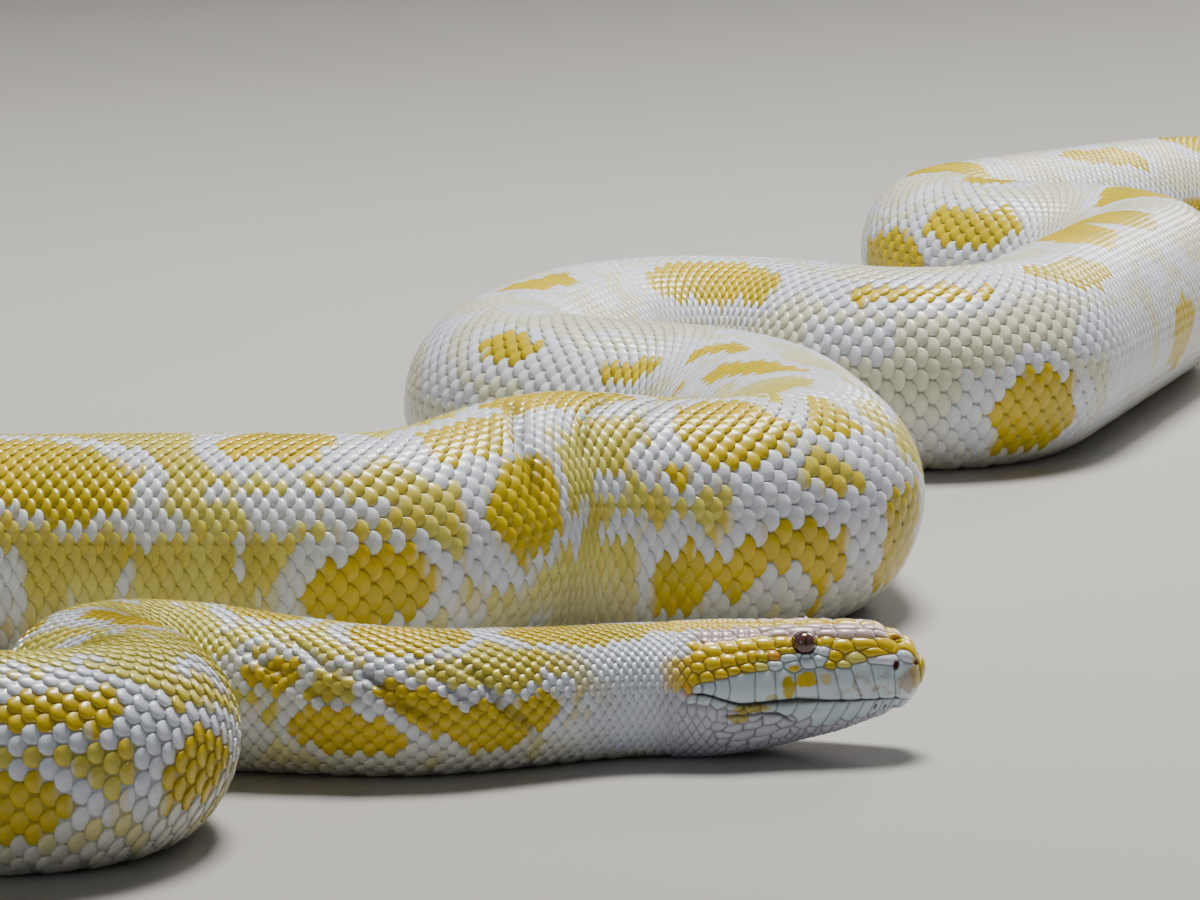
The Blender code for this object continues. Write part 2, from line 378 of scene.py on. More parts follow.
@dataclass
class BodyShape:
    """The outer form of the animal, from snout to tail."""

    course: Course
    head_length: float = 0.105
    belly_press: float = 0.10
    lip_share: float = 0.42
    head_square: float = 0.80
    nape_blend: float = 0.045
    nose_length: float = 0.010
    nose_bulge: float = 0.0022
    nose_height: float = 0.0340
    shift: Array = field(default_factory=lambda: np.zeros(3))
    grid: Array = field(init=False)
    sizes: Array = field(init=False)

    def __post_init__(self) -> None:
        """Tabulate the section's sizes along the body."""
        stations = np.array(TRUNK_STATIONS + ((self.course.length, *TAIL_END),))
        self.grid = np.arange(-0.012, self.course.length + 0.0005, 0.0005)
        trunk = smooth_read(stations, np.maximum(self.grid, self.head_length))
        head = smooth_read(np.array(HEAD_STATIONS), np.clip(self.grid / self.head_length, 0.0, 1.0))
        blend = smoothstep(self.head_length - self.nape_blend, self.head_length, self.grid)
        self.sizes = np.column_stack((trunk, head, blend))

    def read_sizes(self, s: Array) -> list[Array]:
        """Trunk half width and height, head half width, underside and crown, and their blend."""
        return [np.interp(s, self.grid, column) for column in self.sizes.T]

    def nose_places(self, count: int, short: float = 0.0) -> Array:
        """Distances ahead of the snout's first ring, at even turns over the dome of the nose.

        Args:
            count: how many turns, of which the last, at the ring, is left out.
            short: how far the first one stays from the dome's tip, in radians.

        Returns:
            Negative distances: the nose's length times 1 - cos of the turn.
        """
        turn = np.linspace(0.5 * math.pi - short, 0.0, count)[:-1]
        return -self.nose_length * (1.0 - np.cos(turn))

    def girth(self, s: Array) -> Array:
        """Half width of the body, the larger of the head's and the trunk's where they blend."""
        half_width, _, head_half, _, _, blend = self.read_sizes(s)
        return blend * half_width + (1.0 - blend) * head_half

    def section(self, s: Array, phi: Array) -> tuple[Array, Array]:
        """Lateral and upward place on the section.

        The trunk is an ellipse on the floor whose lower half is pressed flat.  The head is a squared
        oval, widest at the lips.  The two are blended over the nape.

        Args:
            s: distances from the snout.
            phi: angles from the spine, in radians.

        Returns:
            Places to the left of the course and above the floor.
        """
        half_width, height, head_half, underside, crown, blend = self.read_sizes(s)
        across, up = -np.sin(phi), np.cos(phi)
        pressed = np.where(up < 0.0, up * (1.0 + self.belly_press), up)
        trunk_up = np.maximum(0.5 * height * (1.0 + pressed), 0.0)
        lip = underside + self.lip_share * (crown - underside)
        reach = np.where(up > 0.0, crown - lip, lip - underside)
        head_side = head_half * np.sign(across) * np.abs(across) ** self.head_square
        head_up = lip + reach * np.sign(up) * np.abs(up) ** self.head_square
        return (blend * half_width * across + (1.0 - blend) * head_side,
                blend * trunk_up + (1.0 - blend) * head_up)

    def fold_rise(self, s: Array, phi: Array) -> Array:
        """Depth of the skin's creases: for each, a Gaussian groove with a softer lip beside it.

        Args:
            s: distances from the snout.
            phi: angles from the spine, in radians.

        Returns:
            Rises of the skin, negative in the grooves.
        """
        rise = np.zeros(np.broadcast(s, phi).shape)
        width = self.girth(s)
        for fold in FOLDS:
            low, high = math.radians(fold.phi_start), math.radians(fold.phi_end)
            arm = float(self.girth(np.array(0.5 * (fold.s_start + fold.s_end))))
            run, rest = fold.s_end - fold.s_start, (high - low) * arm
            size = math.hypot(run, rest)
            x, y = s - fold.s_start, (phi - low) * width
            ahead, aside = (x * run + y * rest) / size, (x * rest - y * run) / size
            aside = aside - 0.0015 * np.sin(ahead / size * 9.0)
            ends = smoothstep(-0.006, 0.008, ahead) * smoothstep(-0.006, 0.008, size - ahead)
            lip = 0.55 * bump(aside + 2.0 * fold.width, 1.3 * fold.width)
            rise -= fold.depth * ends * (bump(aside, fold.width) - lip)
        return rise

    def surface(self, s: Array, phi: Array, rise: Array) -> Array:
        """Points on the body, raised along the section's own normal.

        The normal is the section's tangent turned by a quarter: (-d up, d across) over d phi.  Ahead
        of the snout's ring the section shrinks by the share f, and stands out by the root of
        1 - f^2 times the nose's bulge, which closes it in a dome.

        Args:
            s: distances from the snout.
            phi: angles from the spine, in radians.
            rise: heights above the outer form, negative inside it.

        Returns:
            Positions in the frame, with a last axis of three.
        """
        small = 0.004
        shrink = np.clip(1.0 + s / self.nose_length, 0.0, 1.0)
        reach = np.sqrt(1.0 - shrink ** 2)
        on_body = np.maximum(s, 0.0)
        side, up = self.section(on_body, phi)
        side_after, up_after = self.section(on_body, phi + small)
        side_before, up_before = self.section(on_body, phi - small)
        tangent_side, tangent_up = side_after - side_before, up_after - up_before
        size = np.hypot(tangent_side, tangent_up) + 1e-12
        height = rise + self.fold_rise(s, phi)
        side = shrink * (side + height * tangent_up / size)
        up = self.nose_height * (1.0 - shrink) + shrink * (up - height * tangent_side / size)
        ahead = reach * (self.nose_bulge + height)
        x, y, heading = self.course.place(on_body)
        return np.stack((x - np.sin(heading) * side - np.cos(heading) * ahead + self.shift[0],
                         y + np.cos(heading) * side - np.sin(heading) * ahead + self.shift[1],
                         np.maximum(up, 0.0002)), axis=-1)

    def stretch(self, s: Array, phi: Array) -> Array:
        """How much longer the skin is than the course: one less the curvature times the offset.

        Args:
            s: distances from the snout.
            phi: angles from the spine, in radians.

        Returns:
            Ratios of the two lengths.
        """
        ahead, behind = self.course.place(s + 0.004)[2], self.course.place(s - 0.004)[2]
        side, _ = self.section(s, phi)
        return 1.0 - (ahead - behind) / 0.008 * side

    @staticmethod
    def pitch(s: Array) -> Array:
        """Length of one scale along the body: short behind the jaw and towards the tail's tip."""
        return read_line(PITCH_STATIONS, s)


# ---------------------------------------------------------------- markings


class Tone(Enum):
    """The colours of the animal, and the painted shade of its grooves and clefts, as linear light."""

    GOLD = srgb(0.92, 0.785, 0.00)
    OLIVE_GOLD = srgb(0.80, 0.715, 0.00)
    PALE = srgb(0.90, 0.86, 0.42)
    HALO = srgb(0.93, 0.95, 1.00)
    BELLY = srgb(0.92, 0.91, 0.86)
    PINK = srgb(0.85, 0.75, 0.74)
    LIP = srgb(0.87, 0.94, 0.98)
    JAW = srgb(0.84, 0.84, 0.91)
    ORANGE = srgb(0.92, 0.66, 0.16)
    PIT = srgb(0.50, 0.13, 0.05)
    SPECKLE = srgb(0.68, 0.53, 0.30)
    # Painted shade, laid into the grooves between head shields, the mouth's cleft and the small pits under
    # the lips.
    GROOVE_SHADE = srgb(0.36, 0.29, 0.27)

    @property
    def light(self) -> Array:
        """The colour as an array."""
        return np.array(self.value)


@dataclass(frozen=True)
class Blotch:
    """One gold blotch: an oval on the unrolled skin, with its long axis turned by tilt."""

    s: float
    phi: float
    along: float
    around: float
    tilt: float = 0.0


PLACED_BLOTCHES = tuple(Blotch(*row) for row in (
    # head end and neck
    (0.143, -11, 0.036, 0.0115, 4), (0.215, -13, 0.022, 0.0130, -8),
    (0.272, 4, 0.017, 0.0100, 0), (0.264, -62, 0.016, 0.0062, -14),
    (0.206, -88, 0.020, 0.0070, 38), (0.177, -94, 0.019, 0.0068, -36),
    (0.190, -92, 0.010, 0.0070, 0), (0.232, -106, 0.018, 0.0085, 12),
    # foremost loop
    (0.392, -10, 0.023, 0.0150, 0), (0.362, 38, 0.007, 0.0060, 0),
    (0.496, -50, 0.019, 0.0100, 0), (0.459, -96, 0.013, 0.0165, 0),
    (0.510, -102, 0.020, 0.0130, 0),
    # middle of the body
    (1.214, 34, 0.046, 0.0230, 24), (1.318, 12, 0.024, 0.0180, 4),
    (1.394, 22, 0.021, 0.0175, 0), (1.406, 66, 0.018, 0.0235, 14),
    (1.450, 3, 0.032, 0.0165, 0), (1.525, 28, 0.021, 0.0220, 14),
    (1.566, 30, 0.008, 0.0150, 10), (1.346, 99, 0.0185, 0.0185, 6),
    (1.504, 112, 0.0120, 0.0190, 0), (1.538, 93, 0.0145, 0.0085, 0),
    (1.5275, 112, 0.0044, 0.0190, 0), (1.5500, 112, 0.0042, 0.0190, 0),
    (1.581, 100, 0.011, 0.0230, 0), (1.501, 60, 0.0090, 0.0048, 20),
    # back arm and third arm
    (1.656, -20, 0.048, 0.0085, -29), (1.764, -40, 0.032, 0.0080, -18),
    (1.713, -20, 0.014, 0.0040, -18),
    (1.841, -41, 0.013, 0.0095, 0), (1.955, 0, 0.030, 0.0100, 20),
    (2.098, 32, 0.056, 0.0180, 0), (2.211, 33, 0.022, 0.0078, 0),
    (2.298, 30, 0.038, 0.0110, 10), (2.252, 113, 0.019, 0.0230, 0),
    # far hump
    (2.700, -58, 0.022, 0.0150, 0), (2.965, 26, 0.035, 0.0120, 12),
))

# Half width of the body for which the sizes of the markings are given.
FULL_HALF_WIDTH = 0.05

# Runs of the body where every blotch is listed: distances, then angles in degrees.
HAND_PLACED = (
    (0.10, 0.56, -180, 50), (1.16, 1.62, -20, 180), (1.62, 2.00, -60, 30),
    (2.00, 2.36, -5, 180), (2.66, 2.78, -90, -30), (2.90, 3.06, -5, 60),
)


@dataclass
class Markings:
    """Colour of the skin and of the scales, by place on the body."""

    shape: BodyShape
    seed: int = 11
    halo: float = 0.0080
    spacing: float = 0.100
    flecked_to: float = 1.6
    hump: tuple[float, float] = (1.56, 1.72)
    nape: tuple[float, float] = (0.130, 0.165)
    chain_start: float = 0.33
    tail_left_bare: float = 0.06
    blotches: list[Blotch] = field(init=False)

    def __post_init__(self) -> None:
        """Join the blotches that are known with a regular chain over the rest of the body."""
        self.blotches = list(PLACED_BLOTCHES) + self.chain()

    def chain(self) -> list[Blotch]:
        """Saddles along the spine and blotches on each flank, wherever none is listed.

        Returns:
            The made blotches, from neck to tail.
        """
        rng = np.random.default_rng(self.seed)
        made = []
        s = self.chain_start
        while s < self.shape.course.length - self.tail_left_bare:
            scale = float(self.shape.girth(np.array(s))) / FULL_HALF_WIDTH
            for phi, offset, length, width in ((0.0, 0.0, 0.034, 0.026), (96.0, 0.5, 0.022, 0.024),
                                               (-96.0, 0.5, 0.022, 0.024)):
                blotch = Blotch(s + offset * self.spacing * scale + rng.normal(0.0, 0.008) * scale,
                                phi + rng.normal(0.0, 9.0), length * scale * rng.uniform(0.75, 1.3),
                                width * scale * rng.uniform(0.75, 1.2), rng.uniform(-30.0, 30.0))
                if self.is_free(blotch):
                    made.append(blotch)
            s += self.spacing * scale
        return made

    def is_free(self, blotch: Blotch) -> bool:
        """Whether a blotch lies outside the listed runs and clear of their blotches.

        Args:
            blotch: the blotch to try.

        Returns:
            True if it may stay.
        """
        if any(low < blotch.s < high and phi_low < blotch.phi < phi_high
               for low, high, phi_low, phi_high in HAND_PLACED):
            return False
        arm = float(self.shape.girth(np.array(blotch.s)))
        return all(math.hypot(other.s - blotch.s, math.radians(other.phi - blotch.phi) * arm)
                   >= max(other.along, other.around) + max(blotch.along, blotch.around) + 0.002
                   for other in PLACED_BLOTCHES)

    def blotch_gap(self, s: Array, phi: Array, arm: Array) -> Array:
        """Distance outside the nearest blotch, negative inside.

        For an oval of half axes a and b, the gap is (q - 1) times the smaller of a and b, where q
        is the root of (x / a)^2 + (y / b)^2 in the oval's own turned axes.

        Args:
            s: distances from the snout.
            phi: angles from the spine, in radians.
            arm: half widths of the body there.

        Returns:
            One gap for each place, at most a metre.
        """
        gap = np.full(s.shape, 1.0)
        for blotch in self.blotches:
            near = np.abs(s - blotch.s) < blotch.along + blotch.around + 0.045
            turn = np.angle(np.exp(1j * (phi[near] - math.radians(blotch.phi))))
            x, y = turned(s[near] - blotch.s, turn * arm[near], blotch.tilt)
            found = (np.hypot(x / blotch.along, y / blotch.around) - 1.0) * min(blotch.along, blotch.around)
            gap[near] = np.minimum(gap[near], found)
        return gap

    def ground(self, s: Array, flat: Array) -> Array:
        """Pale yellow between the blotches: clouded with olive to the hump, milky beyond it.

        Args:
            s: distances from the snout.
            flat: places on the unrolled skin, shape (n, 3).

        Returns:
            Linear colours, shape (n, 3).
        """
        beyond = smoothstep(*self.hump, s)
        warm = 0.45 * smoothstep(0.30, 0.75, value_noise(flat + 17.0, 0.022)) * (1.0 - beyond)
        pale = mix(Tone.PALE.light, Tone.OLIVE_GOLD.light, warm)
        pale = pale * (0.93 + 0.14 * value_noise(flat + 5.0, 0.012))[:, None]
        return mix(pale, Tone.HALO.light, 0.55 * beyond)

    def tint(self, s: Array, phi: Array) -> Array:
        """Colour at places on the trunk.

        Inside a blotch it is gold, in a ring round it white, and between the rings pale yellow with
        white pools and a few gold flecks, whiter towards the belly.

        Args:
            s: distances from the snout.
            phi: angles from the spine, in radians, in -pi..pi.

        Returns:
            Linear colours, shape (n, 3).
        """
        arm = self.shape.girth(s)
        flat = np.column_stack((s, phi * arm, np.zeros_like(s)))
        scale = arm / FULL_HALF_WIDTH
        around = np.abs(phi)
        warp = (value_noise(flat, 0.016) - 0.5) * 0.010 * scale
        warp += (value_noise(flat + 3.7, 0.006) - 0.5) * 0.004 * scale
        gap = self.blotch_gap(s, phi, arm) + warp
        halo = self.halo * scale * (0.7 + 0.6 * value_noise(flat + 9.1, 0.05))
        beyond = smoothstep(*self.hump, s)
        pale = self.ground(s, flat)
        white = Tone.HALO.light * (0.94 + 0.09 * value_noise(flat + 1.0, 0.010))[:, None]
        pooled = (gap > halo * 1.5) & (value_noise(flat + 21.0, 0.030) > 0.70 - 0.18 * beyond)
        pooled |= (gap > halo * 1.2) & (value_noise(flat + 31.0, 0.012) > 0.72) & (s < self.flecked_to)
        colour = mix(pale, white, (gap < halo) | pooled)
        fleck = hash01(np.round(s * 900.0), np.round(phi * 40.0))
        likely = np.where(gap < halo + 0.006 * scale, 0.62, 0.965)
        flecked = (gap > halo) & (fleck > likely) & (s < self.flecked_to)
        colour = mix(colour, 0.5 * (pale + Tone.GOLD.light), flecked)
        low = smoothstep(math.radians(96), math.radians(126), around)
        colour = mix(colour, mix(pale, white, 0.5 + 0.3 * beyond), 0.65 * low)
        nape = (1.0 - smoothstep(*self.nape, s)) * smoothstep(0.0, 0.3, around)
        colour = mix(colour, white, nape)
        gold = mix(Tone.OLIVE_GOLD.light, Tone.GOLD.light, value_noise(flat + 13.0, 0.020))
        colour = mix(colour, gold, gap < 0.0)
        return mix(colour, Tone.BELLY.light, smoothstep(math.radians(134), math.radians(142), around))


# ---------------------------------------------------------------- finishes


class Graph:
    """A new material whose nodes are laid one by one round its shader."""

    def __init__(self, name: str) -> None:
        """Start a material with its shader and the piece's own coordinates.

        Args:
            name: the material's name.
        """
        self.material = bpy.data.materials.new(name)
        self.material.use_nodes = True
        self.tree = self.material.node_tree
        self.shader = self.tree.nodes["Principled BSDF"]
        self.place = self.tree.nodes.new("ShaderNodeTexCoord").outputs["Object"]

    def join(self, node: bpy.types.Node, inputs: dict[str, object]) -> None:
        """Link each named input to a socket, or set it to a constant.

        Args:
            node: the node whose inputs are meant.
            inputs: a socket or a constant for each name.
        """
        for name, value in inputs.items():
            if isinstance(value, bpy.types.NodeSocket):
                self.tree.links.new(value, node.inputs[name])
            else:
                node.inputs[name].default_value = value

    def add(self, kind: str, output: str, inputs: dict[str, object], **settings: str) -> bpy.types.NodeSocket:
        """Lay one node.

        Args:
            kind: its type, less the common start of all shader nodes.
            output: the output to hand back.
            inputs: a socket or a constant for each named input.
            settings: the node's own choices, made before its inputs.

        Returns:
            The output socket.
        """
        node = self.tree.nodes.new("ShaderNode" + kind)
        for name, value in settings.items():
            setattr(node, name, value)
        self.join(node, inputs)
        return node.outputs[output]

    def noise(self, size: float, detail: float) -> bpy.types.NodeSocket:
        """Noise on the piece's own coordinates, with about one wave in each size."""
        return self.add("TexNoise", "Fac", {"Scale": 1.0 / size, "Detail": detail, "Vector": self.place})

    def blend(self, first: object, second: object, share: object, kind: str = "MIX") -> bpy.types.NodeSocket:
        """Two colours mixed, or multiplied, by a share of the second."""
        inputs = {"A": first, "B": second, "Factor": share}
        return self.add("Mix", "Result", inputs, data_type="RGBA", blend_type=kind)

    def finish(self, inputs: dict[str, object]) -> bpy.types.Material:
        """Feed the shader and hand back the material."""
        self.join(self.shader, inputs)
        return self.material


@dataclass(frozen=True)
class HideFinish:
    """Satin to wet-looking hide whose colour is carried by the piece's own Tint attribute."""

    name: str
    roughness: float
    coat: float
    coat_roughness: float
    mottle_size: float
    mottle: float
    bump_size: float
    bump_depth: float
    glow: float = 0.05

    def material(self) -> bpy.types.Material:
        """Tint, darkened a little by fine mottling, with pores and hairlines as bump.

        Returns:
            A new material.
        """
        graph = Graph(self.name)
        cloud = graph.noise(self.mottle_size, 4.0)
        shade = graph.add("MapRange", "Result", {"From Min": 0.3, "From Max": 0.7,
                                                 "To Min": 1.0 - self.mottle, "To Max": 1.0, "Value": cloud})
        tint = graph.add("Attribute", "Color", {}, attribute_name="Tint")
        gloss = graph.add("MapRange", "Result", {"To Min": self.roughness * 1.25,
                                                 "To Max": self.roughness * 0.8, "Value": cloud})
        relief = graph.add("Bump", "Normal", {"Strength": 1.0, "Distance": self.bump_depth,
                                              "Height": graph.noise(self.bump_size, 3.0)})
        return graph.finish({
            "Base Color": graph.blend(tint, shade, 1.0, "MULTIPLY"), "Roughness": gloss, "Normal": relief,
            "Coat Weight": self.coat, "Coat Roughness": self.coat_roughness, "IOR": 1.5,
            "Subsurface Weight": self.glow, "Subsurface Radius": (1.0, 0.55, 0.3),
            "Subsurface Scale": 0.003})


SKIN_FINISH = HideFinish("python_skin", 0.42, 0.10, 0.30, 0.0030, 0.16, 0.0007, 0.00010)
SCALE_FINISH = HideFinish("python_scales", 0.33, 0.30, 0.12, 0.0024, 0.10, 0.0009, 0.00006)
SHIELD_FINISH = HideFinish("python_shields", 0.27, 0.45, 0.14, 0.0020, 0.08, 0.0006, 0.00004)


@dataclass(frozen=True)
class EyeFinish:
    """Wet dark red-brown iris with fine radial streaks and an upright slit pupil."""

    name: str = "python_eye"
    iris_light: Colour = srgb(0.48, 0.30, 0.27)
    iris_dark: Colour = srgb(0.26, 0.13, 0.12)
    pupil: Colour = srgb(0.030, 0.010, 0.012)
    streak_size: float = 0.0006

    def material(self) -> bpy.types.Material:
        """Iris colours by streaky noise, mixed to the pupil by the piece's Pupil attribute.

        Returns:
            A new material.
        """
        graph = Graph(self.name)
        streaks = graph.noise(self.streak_size, 3.0)
        iris = graph.blend((*self.iris_dark, 1.0), (*self.iris_light, 1.0), streaks)
        slit = graph.add("Attribute", "Fac", {}, attribute_name="Pupil")
        return graph.finish({"Base Color": graph.blend(iris, (*self.pupil, 1.0), slit), "Roughness": 0.10,
                             "Coat Weight": 1.0, "Coat Roughness": 0.02, "Coat IOR": 1.6})


@dataclass(frozen=True)
class FloorFinish:
    """Pale matt floor with a faint cloudiness."""

    name: str = "studio_floor"
    light: Colour = srgb(0.70, 0.69, 0.68)
    dark: Colour = srgb(0.67, 0.66, 0.65)
    cloud_size: float = 0.6

    def material(self) -> bpy.types.Material:
        """Two close greys mixed by broad noise.

        Returns:
            A new material.
        """
        graph = Graph(self.name)
        grey = graph.blend((*self.dark, 1.0), (*self.light, 1.0), graph.noise(self.cloud_size, 2.0))
        return graph.finish({"Base Color": grey, "Roughness": 0.7})


# ---------------------------------------------------------------- meshes


def link(name: str, data: bpy.types.ID) -> bpy.types.Object:
    """A new object in the scene that holds the given data.

    Args:
        name: the object's name.
        data: its mesh, lamp or camera.

    Returns:
        The new object.
    """
    body = bpy.data.objects.new(name, data)
    bpy.context.scene.collection.objects.link(body)
    return body


@dataclass
class Sheet:
    """Arrays of one mesh: places, quads, a place on the bake map and a colour for each vertex.

    Faces marked crisp are shaded flat, which keeps the edges of a plate sharp.  A sheet that wraps
    has its faces over the map's seam carried to the far edge.
    """

    places: Array
    quads: Array
    bake: Array
    tint: Array | None = None
    pupil: Array | None = None
    crisp: Array | None = None
    wraps: bool = False

    def build(self, name: str, material: bpy.types.Material) -> bpy.types.Object:
        """Write the arrays to a mesh object at the origin, riding on the one body.

        Args:
            name: the object's name.
            material: its only material.

        Returns:
            The new object, linked to the scene.
        """
        mesh = bpy.data.meshes.new(name)
        mesh.vertices.add(len(self.places))
        mesh.vertices.foreach_set("co", self.places.astype(np.float32).ravel())
        mesh.loops.add(self.quads.size)
        corners = self.quads.astype(np.int32).ravel()
        mesh.loops.foreach_set("vertex_index", corners)
        mesh.polygons.add(len(self.quads))
        mesh.polygons.foreach_set("loop_start", np.arange(0, self.quads.size, 4, dtype=np.int32))
        mesh.update(calc_edges=True)
        mesh.validate()
        flat = self.lift_seam(self.bake[corners]) if self.wraps else self.bake[corners]
        mesh.uv_layers.new(name="OFBake").data.foreach_set("uv", flat.astype(np.float32).ravel())
        if self.tint is not None:
            values = np.column_stack((self.tint, np.ones(len(self.tint)))).astype(np.float32)
            mesh.attributes.new("Tint", "FLOAT_COLOR", "POINT").data.foreach_set("color", values.ravel())
        if self.pupil is not None:
            values = self.pupil.astype(np.float32)
            mesh.attributes.new("Pupil", "FLOAT", "POINT").data.foreach_set("value", values)
        smooth = np.ones(len(self.quads), dtype=bool) if self.crisp is None else ~self.crisp
        mesh.polygons.foreach_set("use_smooth", smooth)
        mesh.materials.append(material)
        body = link(name, mesh)
        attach(body, "root")
        return body

    @staticmethod
    def lift_seam(flat: Array) -> Array:
        """Carry the corners of a face that straddles the map's seam to its far edge.

        Args:
            flat: places on the map, four for each face.

        Returns:
            The same places, with those low on a straddling face one map higher.
        """
        faces = flat.reshape(-1, 4, 2)
        straddles = np.ptp(faces[:, :, 1], axis=1) > 0.5
        faces[:, :, 1] += straddles[:, None] & (faces[:, :, 1] < 0.5)
        return faces.reshape(-1, 2)


def tube_quads(rings: int, sides: int) -> Array:
    """Quads of a closed tube of rings, whose two ends are folded shut from side to side.

    Args:
        rings: how many rings.
        sides: vertices of each ring, an even number.

    Returns:
        Corners of each quad, shape (n, 4).
    """
    ring = np.arange(rings - 1)[:, None] * sides
    near = np.arange(sides)[None, :]
    after = (near + 1) % sides
    wall = np.stack((ring + near, ring + after, ring + sides + after, ring + sides + near), axis=-1)
    low = np.arange(sides // 2 - 1)
    cap = np.stack((low, sides - 1 - low, sides - 2 - low, low + 1), axis=-1)
    return np.concatenate((wall.reshape(-1, 4), cap, cap[:, ::-1] + (rings - 1) * sides))


def patch_quads(patches: int, rows: int, columns: int) -> Array:
    """Quads of many equal rectangular patches laid one after another.

    Args:
        patches: how many patches.
        rows: rows of vertices in each.
        columns: vertices in each row.

    Returns:
        Corners of each quad, shape (n, 4).
    """
    first = (np.arange(rows - 1)[:, None] * columns + np.arange(columns - 1)).reshape(-1)
    quad = np.stack((first, first + 1, first + columns + 1, first + columns), axis=-1)
    starts = (np.arange(patches) * rows * columns)[:, None, None]
    return (quad + starts).reshape(-1, 4)


def plate_map(u: Array, v: Array, along: Array, across: Array) -> Array:
    """Bake map of many plates: a patch 0.003 square at each root's place on the body's unwrap.

    Args:
        u: place of each plate along the body, 0 to 1.
        v: its place round the body.
        along: stations along one plate.
        across: stations across it, -1 to 1.

    Returns:
        Places on the map, shape (n, 2).
    """
    shape = (len(u), len(along), len(across))
    patch = 0.003 * ((along - along[0]) / np.ptp(along) - 0.5)
    spread = (0.02 + 0.96 * u)[:, None, None] + patch[:, None]
    aside = v[:, None, None] + 0.0015 * across
    return np.stack((np.broadcast_to(spread, shape), np.broadcast_to(aside, shape)), axis=-1).reshape(-1, 2)


# ---------------------------------------------------------------- the skin


@dataclass
class Skin:
    """One closed skin over the whole animal, inside the coat by its depth."""

    shape: BodyShape
    markings: Markings
    head: "HeadForm"
    neck_start: float = 0.118
    trunk_start: float = 0.340
    head_step: float = 0.0009
    neck_step: float = 0.0026
    ring_step: float = 0.0065
    sides: int = 96
    coat_depth: float = 0.021
    head_depth: float = 0.0033
    jaw: tuple[float, float] = (0.092, 0.108)
    jaw_colour: tuple[float, float] = (0.100, 0.112)
    # Painted shade: shares by which the skin's colour is darkened on the head and the trunk, so that it reads
    # as shade in the gaps between the shields and scales.
    head_painted_shade: float = 0.45
    trunk_painted_shade: float = 0.58

    def ring_places(self) -> Array:
        """Distances of the rings, dense over the head and coarser along the trunk.

        Returns:
            Rising distances, from the dome of the nose to the tail's tip.
        """
        end = self.shape.course.length
        trunk_rings = round((end - self.trunk_start) / self.ring_step)
        return np.concatenate((self.shape.nose_places(14, 0.02),
                               np.arange(0.0, self.neck_start, self.head_step),
                               np.arange(self.neck_start, self.trunk_start, self.neck_step),
                               np.linspace(self.trunk_start, end, trunk_rings)))

    def build(self) -> bpy.types.Object:
        """Carry the section along the course at the skin's depth and close both ends.

        Returns:
            The finished skin.
        """
        s = self.ring_places()
        phi = 2.0 * math.pi * np.arange(self.sides) / self.sides - math.pi
        grid_s, grid_phi = np.meshgrid(s, phi, indexing="ij")
        flat_s, flat_phi = grid_s.ravel(), grid_phi.ravel()
        head_part = 1.0 - smoothstep(*self.jaw, flat_s)
        depth = self.coat_depth * np.maximum(self.shape.girth(flat_s), 0.004)
        rise = -depth * (1.0 - head_part) - self.head_depth * head_part
        rise += self.head.hollows(flat_s, flat_phi) * head_part
        trunk, head = self.markings.tint(flat_s, flat_phi), self.head.ground_tint(flat_s, flat_phi)
        near = 1.0 - smoothstep(*self.jaw_colour, flat_s)
        # Painted shade: the skin is darkened where it shows between the scales and shields.
        tint = mix(self.trunk_painted_shade * trunk, self.head_painted_shade * head, near)
        turn = np.arange(self.sides) / self.sides
        bake = np.meshgrid(np.linspace(0.0, 1.0, len(s)), turn, indexing="ij")
        sheet = Sheet(self.shape.surface(flat_s, flat_phi, rise), tube_quads(len(s), self.sides),
                      0.01 + 0.98 * np.stack(bake, axis=-1).reshape(-1, 2), tint, wraps=True)
        return sheet.build("skin", SKIN_FINISH.material())


# ---------------------------------------------------------------- the scale coat


@dataclass(frozen=True)
class PlateForm:
    """Outline and relief of one overlapping plate, in shares of its pitch and half width.

    Stations run from the hidden root to the free tip.  The outer columns drop to the skin, so each
    plate stands out as a solid one whose free edge lies over the next.
    """

    along: Array
    width: Array
    rise: Array
    across: Array
    drop: Array


SCALE = PlateForm(along=np.array((-0.58, 0.04, 0.32, 0.53, 0.61)),
                  width=np.array((0.80, 1.00, 0.90, 0.54, 0.18)),
                  rise=np.array((-0.07, 0.075, 0.115, 0.137, 0.020)),
                  across=np.array((-1.0, -0.84, 0.0, 0.84, 1.0)), drop=np.array((0.0, 0.95, 1.0, 0.95, 0.0)))
# Painted shade on each scale, by station from root to tip and by column across: darker at the root under the
# scale ahead, at the drop of the tip and at the sides where the plate meets the skin, with a faint painted
# highlight just before the tip.
SCALE_PAINTED_SHADE = np.outer((0.80, 0.93, 1.0, 1.03, 0.66), (0.60, 0.98, 1.0, 0.98, 0.60))
SCUTE = PlateForm(along=np.array((-1.2, 0.0, 0.7, 1.0, 1.12)), width=np.ones(5),
                  rise=np.array((-0.06, 0.07, 0.12, 0.12, 0.02)),
                  across=np.linspace(-1.0, 1.0, 15), drop=1.0 - np.abs(np.linspace(-1.0, 1.0, 15)) ** 8)


@dataclass(frozen=True)
class RowZone:
    """A run of the body, by distance from the snout, with its own count of scale rows."""

    start: float
    end: float
    rows: int


ROW_ZONES = tuple(RowZone(*row) for row in (
    (0.098, 3.200, 47),
    (3.200, 3.860, 41),
    (3.860, 4.210, 31),
))


